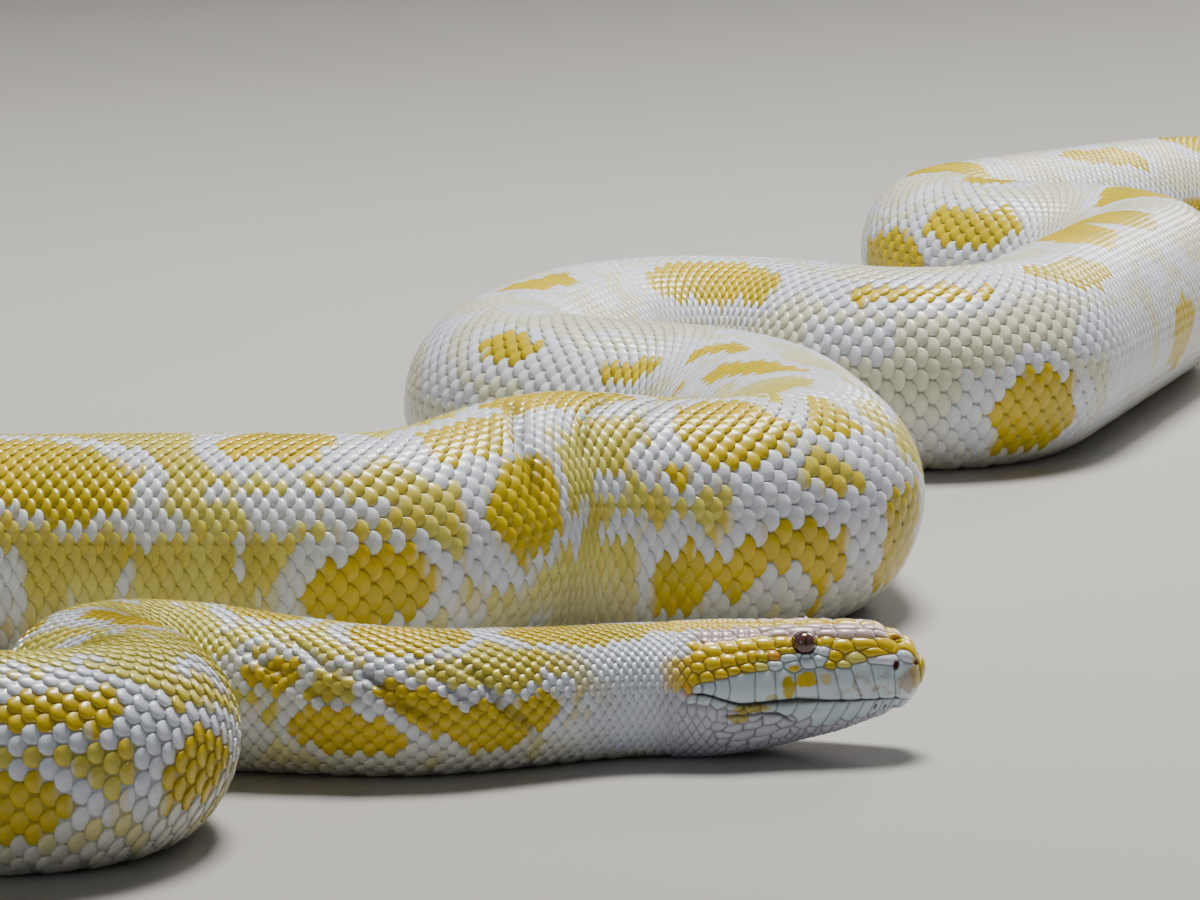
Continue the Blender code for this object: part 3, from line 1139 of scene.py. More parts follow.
@dataclass
class Lattice:
    """The net on which the scales stand: pitches counted along the body, and rows round it."""

    shape: BodyShape
    belly_edge: float = math.radians(141.0)

    def __post_init__(self) -> None:
        """Tabulate how many pitches lie between the snout and each distance."""
        self.s_table = np.linspace(0.0, self.shape.course.length, 8000)
        density = 1.0 / self.shape.pitch(self.s_table)
        growth = 0.5 * (density[1:] + density[:-1]) * np.diff(self.s_table)
        self.count_table = np.concatenate(((0.0,), np.cumsum(growth)))

    def place_of(self, count: Array) -> Array:
        """Distance from the snout at a count of pitches."""
        return np.interp(count, self.count_table, self.s_table)

    def count_at(self, s: Array) -> Array:
        """Count of pitches at a distance from the snout."""
        return np.interp(s, self.s_table, self.count_table)

    def row_angles(self, rows: int) -> tuple[Array, Array]:
        """Angle and half width of each row: rows widen from the spine to the belly.

        The width of a row grows with the square of its share of the way down, from 0.78 of the mean
        at the spine to 1.36 at the belly.

        Args:
            rows: how many rows there are.

        Returns:
            Angles and half widths, in radians.
        """
        width = 0.78 + 0.58 * np.linspace(-1.0, 1.0, rows) ** 2
        edges = np.concatenate(((0.0,), np.cumsum(0.5 * (width[1:] + width[:-1]))))
        angles = (edges / edges[-1] * 2.0 - 1.0) * self.belly_edge
        return angles, np.gradient(angles)

    def cross(self, steps: Array, parity: Array, angles: Array, widths: Array) -> Array:
        """Every crossing of whole steps and rows, odd rows half a pitch behind.

        Args:
            steps: whole counts of pitches.
            parity: 0 or 1 for each row.
            angles: angle of each row.
            widths: half width of each row.

        Returns:
            Rows of count, angle and half width.
        """
        count = steps[:, None] + 0.5 * parity[None, :]
        return np.stack(np.broadcast_arrays(count, angles, widths), axis=-1).reshape(-1, 3)

    def crossings(self) -> Array:
        """Every scale of the body, from the neck to the tail's tip.

        Returns:
            Rows of count, angle and half width.
        """
        found = []
        for zone in ROW_ZONES:
            first, last = self.count_at((zone.start, zone.end))
            steps = np.arange(math.ceil(first), math.ceil(last))
            found.append(self.cross(steps, np.arange(zone.rows) % 2, *self.row_angles(zone.rows)))
        whole = np.concatenate(found)
        return whole[np.argsort(whole[:, 0], kind="stable")]


@dataclass
class ScaleCoat:
    """Overlapping scales over the trunk and tail, joined into a few pieces."""

    shape: BodyShape
    markings: Markings
    head: "HeadForm"
    lattice: Lattice
    piece_limit: int = 5900
    spread_limit: float = 1.18
    dome: float = 0.007
    sunk: float = 0.140
    edge_drop: float = 0.02
    uneven_spacing: float = 0.04
    uneven_relief: float = 0.25
    own_share: float = 0.45
    # Depth of a crease at which the painted shade on the scales in it is full.
    fold_shade_depth: float = 0.0015
    jaw: tuple[float, float] = (0.104, 0.116)

    def piece(self, name: str, count: Array, phi: Array, half: Array) -> bpy.types.Object:
        """One joined mesh of scales.

        Args:
            name: the piece's name.
            count: each scale's place along the body, in pitches.
            phi: each scale's angle.
            half: each scale's half width, as an angle.

        Returns:
            The finished object.
        """
        form, place_of = SCALE, self.lattice.place_of
        wobble = self.uneven_spacing * (hash01(np.round(count * 2.0), np.round(phi * 100.0)) - 0.5)
        spread = np.maximum(self.shape.stretch(place_of(count), phi) / self.spread_limit, 1.0)
        row = place_of(np.maximum((count + wobble)[:, None] + form.along / spread[:, None], 0.0))
        angle = phi[:, None, None] + half[:, None, None] * form.width[:, None] * form.across
        s = np.broadcast_to(row[..., None], angle.shape)
        relief = np.outer(form.rise, form.drop)
        relief = relief + self.dome * np.outer(form.rise > 0.05, 1.0 - form.across ** 2)
        relief = relief - self.edge_drop * (form.drop == 0.0)
        tilt = 1.0 + self.uneven_relief * (hash01(np.round(count * 2.0) + 7.0, np.round(phi * 90.0)) - 0.5)
        height = (relief * tilt[:, None, None] - self.sunk) * self.shape.pitch(s)
        own = self.colour(row.ravel(), np.repeat(phi, len(form.along))).reshape(*row.shape, 3)
        middle = self.colour(place_of(count + 0.1), phi)[:, None, :]
        tint = (1.0 - self.own_share) * middle + self.own_share * own
        tint = tint * (0.95 + 0.10 * hash01(count * 2.0, phi * 31.0))[:, None, None]
        # Painted shade: scales are darkened in the skin's creases and by the painted shade on each scale.
        fold_shade = np.clip(-self.shape.fold_rise(s, angle) / self.fold_shade_depth, 0.0, 1.0)
        shade = SCALE_PAINTED_SHADE * (1.0 - 0.5 * fold_shade)
        share = (count - count.min()) / np.ptp(count)
        around = 0.02 + 0.96 * (phi / (2.0 * math.pi) + 0.5)
        wall = np.ones((len(form.along) - 1, len(form.across) - 1), dtype=bool)
        wall[:-1, 1:-1] = False
        sheet = Sheet(self.shape.surface(s, angle, height).reshape(-1, 3), patch_quads(*angle.shape),
                      plate_map(share, around, form.along, form.across),
                      (tint[:, :, None, :] * shade[..., None]).reshape(-1, 3),
                      crisp=np.tile(wall.ravel(), len(count)))
        return sheet.build(name, SCALE_FINISH.material())

    def colour(self, s: Array, phi: Array) -> Array:
        """The markings' colour, eased into the head's own behind the jaw.

        Args:
            s: distances from the snout.
            phi: angles from the spine.

        Returns:
            Linear colours, shape (n, 3).
        """
        tint = self.markings.tint(s, phi)
        near = 1.0 - smoothstep(*self.jaw, s)
        return mix(tint, self.head.ground_tint(s, phi), near) if near.any() else tint

    def build(self) -> list[bpy.types.Object]:
        """Split the scales by distance from the snout into even pieces under the limit.

        Returns:
            The finished pieces.
        """
        rows = self.lattice.crossings()
        pieces = math.ceil(len(rows) / self.piece_limit)
        size = math.ceil(len(rows) / pieces)
        return [self.piece(f"scales_{index + 1:02d}", *rows[index * size:(index + 1) * size].T)
                for index in range(pieces)]


@dataclass
class BellyScutes:
    """The single row of broad plates along the belly."""

    shape: BodyShape
    lattice: Lattice
    start: float = 0.125
    tuck: float = math.radians(2.0)
    sunk: float = 0.15

    def build(self) -> bpy.types.Object:
        """Plates two pitches long, from one edge of the belly to the other, tips to the tail.

        Returns:
            The finished piece.
        """
        form, lattice = SCUTE, self.lattice
        count = np.arange(math.ceil(lattice.count_at(self.start)), lattice.count_table[-1] - 3.0, 2.0)
        reach = math.pi - lattice.belly_edge + self.tuck
        s = lattice.place_of(count[:, None, None] + form.along[:, None] + 0.0 * form.across)
        angle = math.pi + reach * form.across + np.zeros_like(s)
        height = (form.rise[:, None] * form.drop - self.sunk) * self.shape.pitch(s)
        cream = Tone.BELLY.light * (0.93 + 0.10 * hash01(count, count * 0.0 + 3.0))[:, None]
        tint = np.broadcast_to(cream[:, None, None, :], (*s.shape, 3)).reshape(-1, 3)
        share = (count - count.min()) / np.ptp(count)
        bake = plate_map(share, np.full(len(count), 0.5), form.along, form.across)
        sheet = Sheet(self.shape.surface(s, angle, height).reshape(-1, 3), patch_quads(*s.shape), bake, tint)
        return sheet.build("belly_scutes", SCALE_FINISH.material())


# ---------------------------------------------------------------- the head


@dataclass(frozen=True)
class Shield:
    """One head shield: its middle by distance and by angle in degrees, half sizes and tone."""

    s: float
    angle: float
    half_length: float
    half_height: float
    tone: Tone
    slant: float = 0.0


# Shields on each side of the head, placed by angle from the spine in degrees.
SIDE_SHIELDS = tuple(Shield(*row) for row in (
    # nasals and loreals
    (0.0036, 24, 0.0040, 0.0042, Tone.GOLD), (0.0146, 36, 0.0036, 0.0028, Tone.GOLD),
    (0.0108, 13, 0.0034, 0.0026, Tone.GOLD),
    (0.0052, 50, 0.0030, 0.0023, Tone.HALO), (0.0232, 43, 0.0048, 0.0023, Tone.GOLD),
    (0.0322, 45, 0.0040, 0.0027, Tone.GOLD), (0.0192, 55, 0.0048, 0.0019, Tone.GOLD),
    (0.0160, 64, 0.0054, 0.0018, Tone.HALO), (0.0272, 61, 0.0036, 0.0023, Tone.PALE),
    (0.0352, 56, 0.0026, 0.0023, Tone.GOLD), (0.0320, 67, 0.0028, 0.0017, Tone.PALE),
    (0.0376, 66, 0.0024, 0.0018, Tone.OLIVE_GOLD),
    # round the eye
    (0.0390, 37, 0.0028, 0.0025, Tone.GOLD), (0.0402, 50, 0.0024, 0.0021, Tone.HALO),
    (0.0416, 60, 0.0025, 0.0022, Tone.LIP), (0.0466, 62, 0.0029, 0.0020, Tone.LIP),
    (0.0526, 63, 0.0032, 0.0022, Tone.LIP), (0.0545, 54, 0.0031, 0.0018, Tone.LIP),
    (0.0556, 46, 0.0025, 0.0018, Tone.OLIVE_GOLD),
    # beads of the stripe behind the eye
    (0.0572, 33, 0.0036, 0.0026, Tone.GOLD), (0.0642, 33, 0.0039, 0.0026, Tone.GOLD),
    (0.0715, 36, 0.0036, 0.0025, Tone.GOLD), (0.0787, 38, 0.0034, 0.0023, Tone.GOLD),
    (0.0858, 41, 0.0034, 0.0023, Tone.GOLD), (0.0917, 47, 0.0032, 0.0023, Tone.GOLD),
    (0.0608, 50, 0.0028, 0.0018, Tone.ORANGE), (0.0652, 50, 0.0025, 0.0020, Tone.OLIVE_GOLD),
    (0.0692, 48, 0.0024, 0.0022, Tone.GOLD), (0.0738, 50, 0.0026, 0.0022, Tone.GOLD),
    (0.0792, 52, 0.0030, 0.0022, Tone.GOLD), (0.0856, 54, 0.0032, 0.0022, Tone.GOLD),
    (0.0924, 58, 0.0030, 0.0021, Tone.GOLD), (0.0768, 62, 0.0028, 0.0016, Tone.GOLD),
    (0.0822, 64, 0.0028, 0.0017, Tone.GOLD), (0.0880, 66, 0.0029, 0.0018, Tone.GOLD),
    (0.0712, 60, 0.0028, 0.0016, Tone.GOLD), (0.0656, 60, 0.0028, 0.0016, Tone.PALE),
    (0.0600, 60, 0.0030, 0.0017, Tone.LIP),
    # lower jaw behind the lips
    (0.0544, 107, 0.0042, 0.0024, Tone.JAW, -0.6), (0.0485, 115, 0.0042, 0.0026, Tone.JAW, -0.6),
    (0.0612, 100, 0.0042, 0.0022, Tone.JAW, -0.6), (0.0692, 103, 0.0042, 0.0024, Tone.JAW, -0.6),
    (0.0636, 114, 0.0046, 0.0025, Tone.JAW, -0.6), (0.0768, 107, 0.0042, 0.0025, Tone.JAW, -0.6),
    (0.0728, 117, 0.0044, 0.0025, Tone.JAW, -0.6), (0.0570, 124, 0.0046, 0.0027, Tone.JAW, -0.6),
    (0.0664, 128, 0.0046, 0.0027, Tone.JAW, -0.6), (0.0812, 116, 0.0038, 0.0024, Tone.JAW, -0.4),
    (0.0755, 131, 0.0044, 0.0026, Tone.JAW, -0.4), (0.0836, 105, 0.0036, 0.0024, Tone.JAW, -0.2),
))

# Middle, half length, height of the upper edge and slant of each upper lip shield.
UPPER_LIPS = (
    (0.0062, 0.0044, 0.0369, 0.0), (0.0152, 0.0038, 0.0390, 0.25), (0.0232, 0.0038, 0.0408, 0.35),
    (0.0306, 0.0037, 0.0398, 0.30), (0.0386, 0.0043, 0.0390, 0.15), (0.0472, 0.0044, 0.0385, 0.10),
    (0.0558, 0.0040, 0.0390, 0.0), (0.0640, 0.0041, 0.0386, 0.0), (0.0734, 0.0050, 0.0390, -0.05),
    (0.0816, 0.0032, 0.0362, -0.10), (0.0872, 0.0028, 0.0352, -0.10), (0.0925, 0.0026, 0.0345, -0.10),
)

# Middle, half length and half height of each lower lip shield.
LOWER_LIPS = (
    (0.0072, 0.0019, 0.0026), (0.0110, 0.0019, 0.0030), (0.0150, 0.0019, 0.0036),
    (0.0189, 0.0019, 0.0043), (0.0232, 0.0026, 0.0052), (0.0290, 0.0031, 0.0060),
    (0.0352, 0.0030, 0.0066), (0.0415, 0.0033, 0.0066), (0.0484, 0.0035, 0.0052),
    (0.0556, 0.0036, 0.0032), (0.0626, 0.0036, 0.0022), (0.0695, 0.0036, 0.0021),
    (0.0764, 0.0036, 0.0022), (0.0832, 0.0032, 0.0024), (0.0894, 0.0030, 0.0024),
    (0.0948, 0.0026, 0.0024),
)

CROWN_SHIELDS = tuple(Shield(*row) for row in (
    (0.0100, 3, 0.0036, 0.0016, Tone.PINK), (0.0188, 8, 0.0056, 0.0032, Tone.PINK),
    (0.0300, 9, 0.0058, 0.0034, Tone.PINK), (0.0425, 6, 0.0066, 0.0031, Tone.PINK),
    (0.0164, 22, 0.0036, 0.0022, Tone.PINK), (0.0234, 25, 0.0042, 0.0024, Tone.PINK),
    (0.0310, 25, 0.0038, 0.0024, Tone.PINK), (0.0386, 24, 0.0040, 0.0024, Tone.PINK),
    (0.0484, 18, 0.0064, 0.0028, Tone.PINK), (0.0552, 7, 0.0046, 0.0028, Tone.PINK),
    (0.0585, 19, 0.0038, 0.0026, Tone.PINK), (0.0640, 11, 0.0038, 0.0026, Tone.PINK),
))

# Heights of the lines along the side of the head, as distance and height.
MOUTH_LINE = (
    (0.0064, 0.0239), (0.0100, 0.0251), (0.0168, 0.0253), (0.0296, 0.0255), (0.0432, 0.0261),
    (0.0504, 0.0270), (0.0592, 0.0267), (0.0696, 0.0262), (0.0744, 0.0263), (0.0792, 0.0275),
    (0.0848, 0.0295), (0.0888, 0.0305), (0.0952, 0.0309), (0.1200, 0.0305),
)
STRIPE_TOP = ((0.0536, 0.0519), (0.0704, 0.0513), (0.0864, 0.0498), (0.0952, 0.0471), (0.1100, 0.0423))
STRIPE_FOOT = ((0.0536, 0.0457), (0.0660, 0.0426), (0.0776, 0.0388), (0.0900, 0.0364), (0.0960, 0.0335),
               (0.1100, 0.0300))
CROWN_FOOT = ((0.0000, 0.0445), (0.0100, 0.0485), (0.0160, 0.0496), (0.0400, 0.0509), (0.0600, 0.0522),
              (0.0744, 0.0520), (0.0990, 0.0508), (0.1120, 0.0510))


@dataclass(frozen=True)
class Dab:
    """A patch of colour painted over the shields it crosses."""

    s: float
    z: float
    half_length: float
    half_height: float
    tone: Tone
    strength: float = 1.0


DABS = tuple(Dab(*row) for row in (
    (0.0393, 0.0350, 0.0026, 0.0024, Tone.GOLD, 0.6), (0.0472, 0.0352, 0.0045, 0.0030, Tone.GOLD),
    (0.0545, 0.0318, 0.0027, 0.0054, Tone.OLIVE_GOLD), (0.0522, 0.0396, 0.0024, 0.0013, Tone.GOLD),
    (0.0610, 0.0278, 0.0026, 0.0022, Tone.OLIVE_GOLD, 0.6),
    (0.0697, 0.0240, 0.0090, 0.0020, Tone.OLIVE_GOLD, 0.9),
    (0.0752, 0.0205, 0.0042, 0.0024, Tone.OLIVE_GOLD, 0.8),
    (0.0740, 0.0390, 0.0042, 0.0012, Tone.OLIVE_GOLD, 0.7),
    (0.0005, 0.0350, 0.0040, 0.0085, Tone.OLIVE_GOLD, 0.85),
    (0.0055, 0.0320, 0.0040, 0.0050, Tone.SPECKLE, 0.6),
    (0.0965, 0.0325, 0.0036, 0.0034, Tone.ORANGE, 0.4),
))


@dataclass(frozen=True)
class Pit:
    """A hollow in the head: a nostril, or one of the lips' heat pits, placed by angle in degrees."""

    s: float
    angle: float
    half_length: float
    half_height: float
    depth: float
    tilt: float = 0.0
    rim: float = 0.0004


PITS = tuple(Pit(*row) for row in (
    (0.0104, 20.0, 0.0027, 0.0009, 0.0018, 33.0),
    (0.0104, 69.0, 0.0012, 0.0022, 0.0020, -8.0),
    (0.0020, 57.0, 0.0009, 0.0017, 0.0015, -6.0),
    (0.0112, 130.0, 0.0005, 0.0013, 0.0010, -25.0, 0.0002),
    (0.0150, 124.0, 0.0005, 0.0015, 0.0010, -25.0, 0.0002),
    (0.0189, 118.0, 0.0005, 0.0015, 0.0009, -25.0, 0.0002),
))


@dataclass
class Seeds:
    """Arrays over every shield and small scale of the head, one row for each."""

    place: Array
    size: Array
    slant: Array
    tilt: Array
    tone: Array
    below: Array


@dataclass(frozen=True)
class Hill:
    """A rounded rise or hollow on each side of the head: its height, its middle and its reach."""

    rise: float
    s: float
    z: float
    length: float
    tall: float


HILLS = tuple(Hill(*row) for row in (
    (0.0005, 0.0240, 0.0520, 0.0140, 0.0016),    # ridge from the nostril to the brow
    (-0.0008, 0.0290, 0.0445, 0.0090, 0.0034),   # hollow ahead of the eye
    (0.0006, 0.0300, 0.0320, 0.0320, 0.0048),    # full lips
    (-0.0005, 0.0480, 0.0398, 0.0080, 0.0022),   # hollow under the eye
    (0.0012, 0.0830, 0.0430, 0.0160, 0.0090),    # muscle of the jaw
    (0.0010, 0.0900, 0.0190, 0.0130, 0.0080),    # angle of the jaw
))
# By distance: height of the furrow behind the lower lip, half angle in degrees of the crown's gold
# arrow, and half width of the gold line over the snout.
CREASE_LINE = ((0.052, 0.0170), (0.055, 0.0190), (0.058, 0.0211), (0.064, 0.0218), (0.080, 0.0217))
ARROW_LINE = ((0.020, 3.0), (0.045, 7.0), (0.080, 10.0), (0.112, 19.0))
CROWN_LINE = ((0.008, 0.0012), (0.030, 0.0042), (0.060, 0.0052), (0.106, 0.0075))


@dataclass
class HeadForm:
    """Relief, shields and colours of the head, the same on its two sides."""

    shape: BodyShape
    lattice: Lattice
    eye_s: float = 0.048
    eye_side: float = 0.0150
    eye_height: float = 0.0480
    corner: float = 0.0945
    mouth_start: float = 0.0030
    snout_turn: float = 0.0064

    def phi_at(self, s: Array, z: Array) -> Array:
        """Angle from the spine, positive, at which the section stands at a height.

        The section's height is read at every half degree and the crossing interpolated.

        Args:
            s: distances from the snout.
            z: heights above the floor.

        Returns:
            Angles in radians.
        """
        phi = np.linspace(0.0, math.pi, 361)
        _, up = self.shape.section(s[:, None], phi)
        below = np.clip(np.argmax(up <= z[:, None], axis=1), 1, len(phi) - 1)
        row = np.arange(len(below))
        high, low = up[row, below - 1], up[row, below]
        share = np.clip((high - z) / np.maximum(high - low, 1e-9), 0.0, 1.0)
        return phi[below - 1] + share * phi[1]

    def mouth_phi(self, s: Array) -> Array:
        """Angle of the mouth line: from its height, and swinging under the snout at its front."""
        side = self.phi_at(np.maximum(s, self.snout_turn), read_line(MOUTH_LINE, s))
        return side + (math.radians(150.0) - side) * smoothstep(self.snout_turn, self.mouth_start, s)

    def opening(self, s: Array) -> Array:
        """How far the mouth line is open: full along the lips and shut past its corner."""
        return smoothstep(0.0015, self.mouth_start + 0.0015, s) * (
            1.0 - smoothstep(self.corner - 0.003, self.corner + 0.001, s))

    def chart(self, s: Array, phi: Array) -> Array:
        """Place on the straightened head.

        Args:
            s: distances from the snout.
            phi: angles from the spine.

        Returns:
            Places ahead along the head, to its side and up, with a last axis of three.
        """
        shrink = np.clip(1.0 + s / self.shape.nose_length, 0.0, 1.0)
        side, up = self.shape.section(np.maximum(s, 0.0), phi)
        middle = self.shape.nose_height
        ahead = np.where(s < 0.0, -self.shape.nose_bulge * np.sqrt(1.0 - shrink ** 2), s)
        return np.stack((ahead + 0.0 * side, side * shrink, middle + (up - middle) * shrink), axis=-1)

    def sculpt(self, place: Array) -> Array:
        """Broad relief of the skull and muscles: Gaussian hills and hollows in the chart.

        Args:
            place: places on the chart.

        Returns:
            Rises above the outer form.
        """
        s, side, up = place[..., 0], np.abs(place[..., 1]), place[..., 2]
        brow = bump(s - 0.0490, 0.0100) * bump(up - 0.0537, 0.0016) * bump(side - 0.0145, 0.0050)
        furrow = bump(side, 0.0030) * smoothstep(0.050, 0.066, s)
        chin = bump(side, 0.0012) * (up < 0.02) * (1.0 - smoothstep(0.05, 0.06, s))
        rise = 0.0010 * brow - 0.0006 * furrow - 0.0005 * chin - 0.0009 * self.crease(place, 0.0006)
        for hill in HILLS:
            rise += hill.rise * bump(s - hill.s, hill.length) * bump(up - hill.z, hill.tall)
        return rise

    @staticmethod
    def crease(place: Array, width: float) -> Array:
        """The long furrow between the lower lip and the jaw.

        Args:
            place: places on the chart.
            width: how far its Gaussian side reaches.

        Returns:
            1 in the furrow's middle and 0 away from it.
        """
        s = place[..., 0]
        run = smoothstep(0.050, 0.055, s) * (1.0 - smoothstep(0.078, 0.084, s))
        run = run * (np.abs(place[..., 1]) > 0.012)
        return bump(place[..., 2] - read_line(CREASE_LINE, s), width) * run

    def socket(self, place: Array) -> Array:
        """Relief round the eye: a rolled rim, a crease outside it and a floor behind the ball.

        Args:
            place: places on the chart.

        Returns:
            Rises above the outer form.
        """
        ahead, side, up = np.moveaxis(place, -1, 0)
        ahead, side, up = ahead - self.eye_s, np.abs(side) - self.eye_side, up - self.eye_height
        along = 0.80 * side + 0.60 * up
        over = 0.80 * up - 0.60 * side
        aside = np.hypot(ahead, over)
        rim = 0.0004 * bump(aside - 0.0058, 0.0006) - 0.0005 * bump(aside - 0.0067, 0.0006)
        lid = 0.0006 * bump(aside - 0.0054, 0.0010) * smoothstep(0.0015, 0.0045, over)
        floor = -0.0030 * (1.0 - smoothstep(0.0046, 0.0053, aside))
        return smoothstep(-0.002, 0.001, along) * (rim + lid + floor)

    def pit_shares(self, place: Array) -> list[tuple[Pit, Array]]:
        """For each pit, how many times its own half size a place lies from its middle.

        Distance across is measured along the section's own slope at the pit.

        Args:
            place: places on the chart.

        Returns:
            Each pit with its share at every place.
        """
        shares = []
        for pit in PITS:
            angles = math.radians(pit.angle) + np.array((-0.03, 0.0, 0.03))
            before, middle, after = self.chart(np.full(3, pit.s), -angles)
            slope = (after - before)[1:] / np.linalg.norm((after - before)[1:])
            side, up = np.abs(place[..., 1]) - middle[1], place[..., 2] - middle[2]
            apart = side * slope[1] - up * slope[0]
            x, y = turned(place[..., 0] - middle[0], side * slope[0] + up * slope[1], pit.tilt)
            share = np.hypot(x / pit.half_length, y / pit.half_height)
            shares.append((pit, share + 9.0 * (np.abs(apart) > 0.004)))
        return shares

    def pits(self, place: Array) -> Array:
        """Depth of the nostrils and heat pits, each a bowl with a slightly raised rim."""
        return sum(pit.rim * bump(share - 1.35, 0.35) - pit.depth * np.exp(-share ** 4)
                   for pit, share in self.pit_shares(place))

    def hollows(self, s: Array, phi: Array) -> Array:
        """Relief shared by the skin and the shields."""
        place = self.chart(s, phi)
        return (self.sculpt(place) + self.socket(place)) * (1.0 - smoothstep(0.096, 0.112, s))

    def ground_tint(self, s: Array, phi: Array) -> Array:
        """Colour of small scales and of the skin by zone.

        Gold arrow along the crown, pinkish crown, white edge, gold stripe behind the eye that turns
        orange at its end, and white lips, chin and throat.

        Args:
            s: distances from the snout.
            phi: angles from the spine.

        Returns:
            Linear colours, shape (n, 3).
        """
        place = self.chart(s, phi)
        z = place[..., 2]
        angle = np.abs(phi)
        upper = angle < self.mouth_phi(s)
        crown = (z > read_line(CROWN_FOOT, s)) & upper
        tone = np.where(upper[:, None], Tone.HALO.light, Tone.JAW.light)
        pink = mix(Tone.PINK.light, Tone.HALO.light, smoothstep(0.085, 0.105, s))
        tone = np.where(crown[:, None], pink, tone)
        tone[crown & (angle < np.radians(read_line(ARROW_LINE, s))) & (s > 0.060)] = Tone.GOLD.value
        edge = 0.004 * (value_noise(place, 0.003) - 0.5)
        stripe = (s > 0.053) & (s < 0.110) & upper
        stripe &= (z + edge < read_line(STRIPE_TOP, s)) & (z - edge > read_line(STRIPE_FOOT, s))
        tone[stripe] = Tone.GOLD.value
        warm = 0.5 * (Tone.ORANGE.light + Tone.PALE.light)
        worn = mix(warm, Tone.HALO.light, smoothstep(0.098, 0.110, s))
        end = smoothstep(0.093, 0.100, s) * (0.25 + 0.6 * value_noise(place, 0.004))
        return mix(tone, worn, end * stripe)

    def seeds(self) -> Seeds:
        """Middles, half sizes, slants and colours of every shield and small scale of the head.

        Returns:
            The named shields of both sides, then the small scales between them.
        """
        rows = [(shield.s, math.radians(shield.angle), shield.half_length, shield.half_height, shield.slant,
                 shield.tone) for shield in SIDE_SHIELDS + CROWN_SHIELDS]
        for s, half, top, slant in UPPER_LIPS:
            foot = float(read_line(MOUTH_LINE, s))
            phi = self.phi_at(np.array([s]), np.array([0.5 * (foot + top)])).item()
            rows.append((s, phi, half, 0.5 * (top - foot), slant, Tone.LIP))
        for s, half, tall in LOWER_LIPS:
            foot = float(read_line(MOUTH_LINE, s)) - tall
            phi = self.phi_at(np.array([s]), np.array([foot])).item()
            rows.append((s, phi, half, tall, -0.5 if s < 0.052 else -0.15, Tone.LIP))
        rows += [(s, -phi, *rest) for s, phi, *rest in rows]
        rows.append((-0.006, 0.0, 0.0040, 0.0050, 0.0, Tone.OLIVE_GOLD))
        rows.append((0.0035, math.pi, 0.0030, 0.0030, 0.0, Tone.LIP))
        named = np.array([(*row[:5], 0.0) for row in rows])
        small = self.small_scales(named)
        s, phi, length, height, slant, tilt = np.concatenate((named, small)).T
        tone = np.concatenate(([row[5].value for row in rows], self.ground_tint(*small[:, :2].T)))
        return Seeds(self.chart(s, phi), np.column_stack((length, height)), slant, tilt, tone,
                     np.abs(phi) > self.mouth_phi(s))

    def small_scales(self, named: Array) -> Array:
        """The coat's own lattice carried forward over the head, wherever no shield stands.

        Args:
            named: rows of distance, angle, half length and half height of the shields.

        Returns:
            Rows of distance, angle, half length, half height, slant and tilt.
        """
        lattice = self.lattice
        angles, widths = lattice.row_angles(ROW_ZONES[0].rows)
        step = widths[-1]
        extra = np.arange(1, int((math.pi - angles[-1]) / step) + 1) * step
        angles = np.concatenate((-(angles[-1] + extra[::-1]), angles, angles[-1] + extra))
        parity = (np.arange(len(angles)) - len(extra)) % 2
        steps = np.arange(math.ceil(lattice.count_at(0.125)))
        crossings = lattice.cross(steps, parity, angles, np.pad(widths, len(extra), constant_values=step))
        count, phi, half = crossings.T
        s = lattice.place_of(count)
        place, other = self.chart(s, phi), self.chart(named[:, 0], named[:, 1])
        ahead, side, up = np.moveaxis(place[:, None, :] - other, -1, 0)
        share = np.sqrt((ahead / named[:, 2]) ** 2 + (side ** 2 + up ** 2) / named[:, 3] ** 2)
        upper = np.abs(phi) < self.mouth_phi(s)
        front = np.where(upper, 0.036, 0.014)
        sides = upper & (s < 0.093) & (place[:, 2] < read_line(CROWN_FOOT, s))
        free = (share.min(axis=1) > 1.30) & (s > front) & ~sides
        rows = np.column_stack((s, phi, 0.62 * self.shape.pitch(s), 1.05 * half * self.shape.girth(s),
                                np.zeros_like(s), np.ones_like(s)))
        return rows[free]


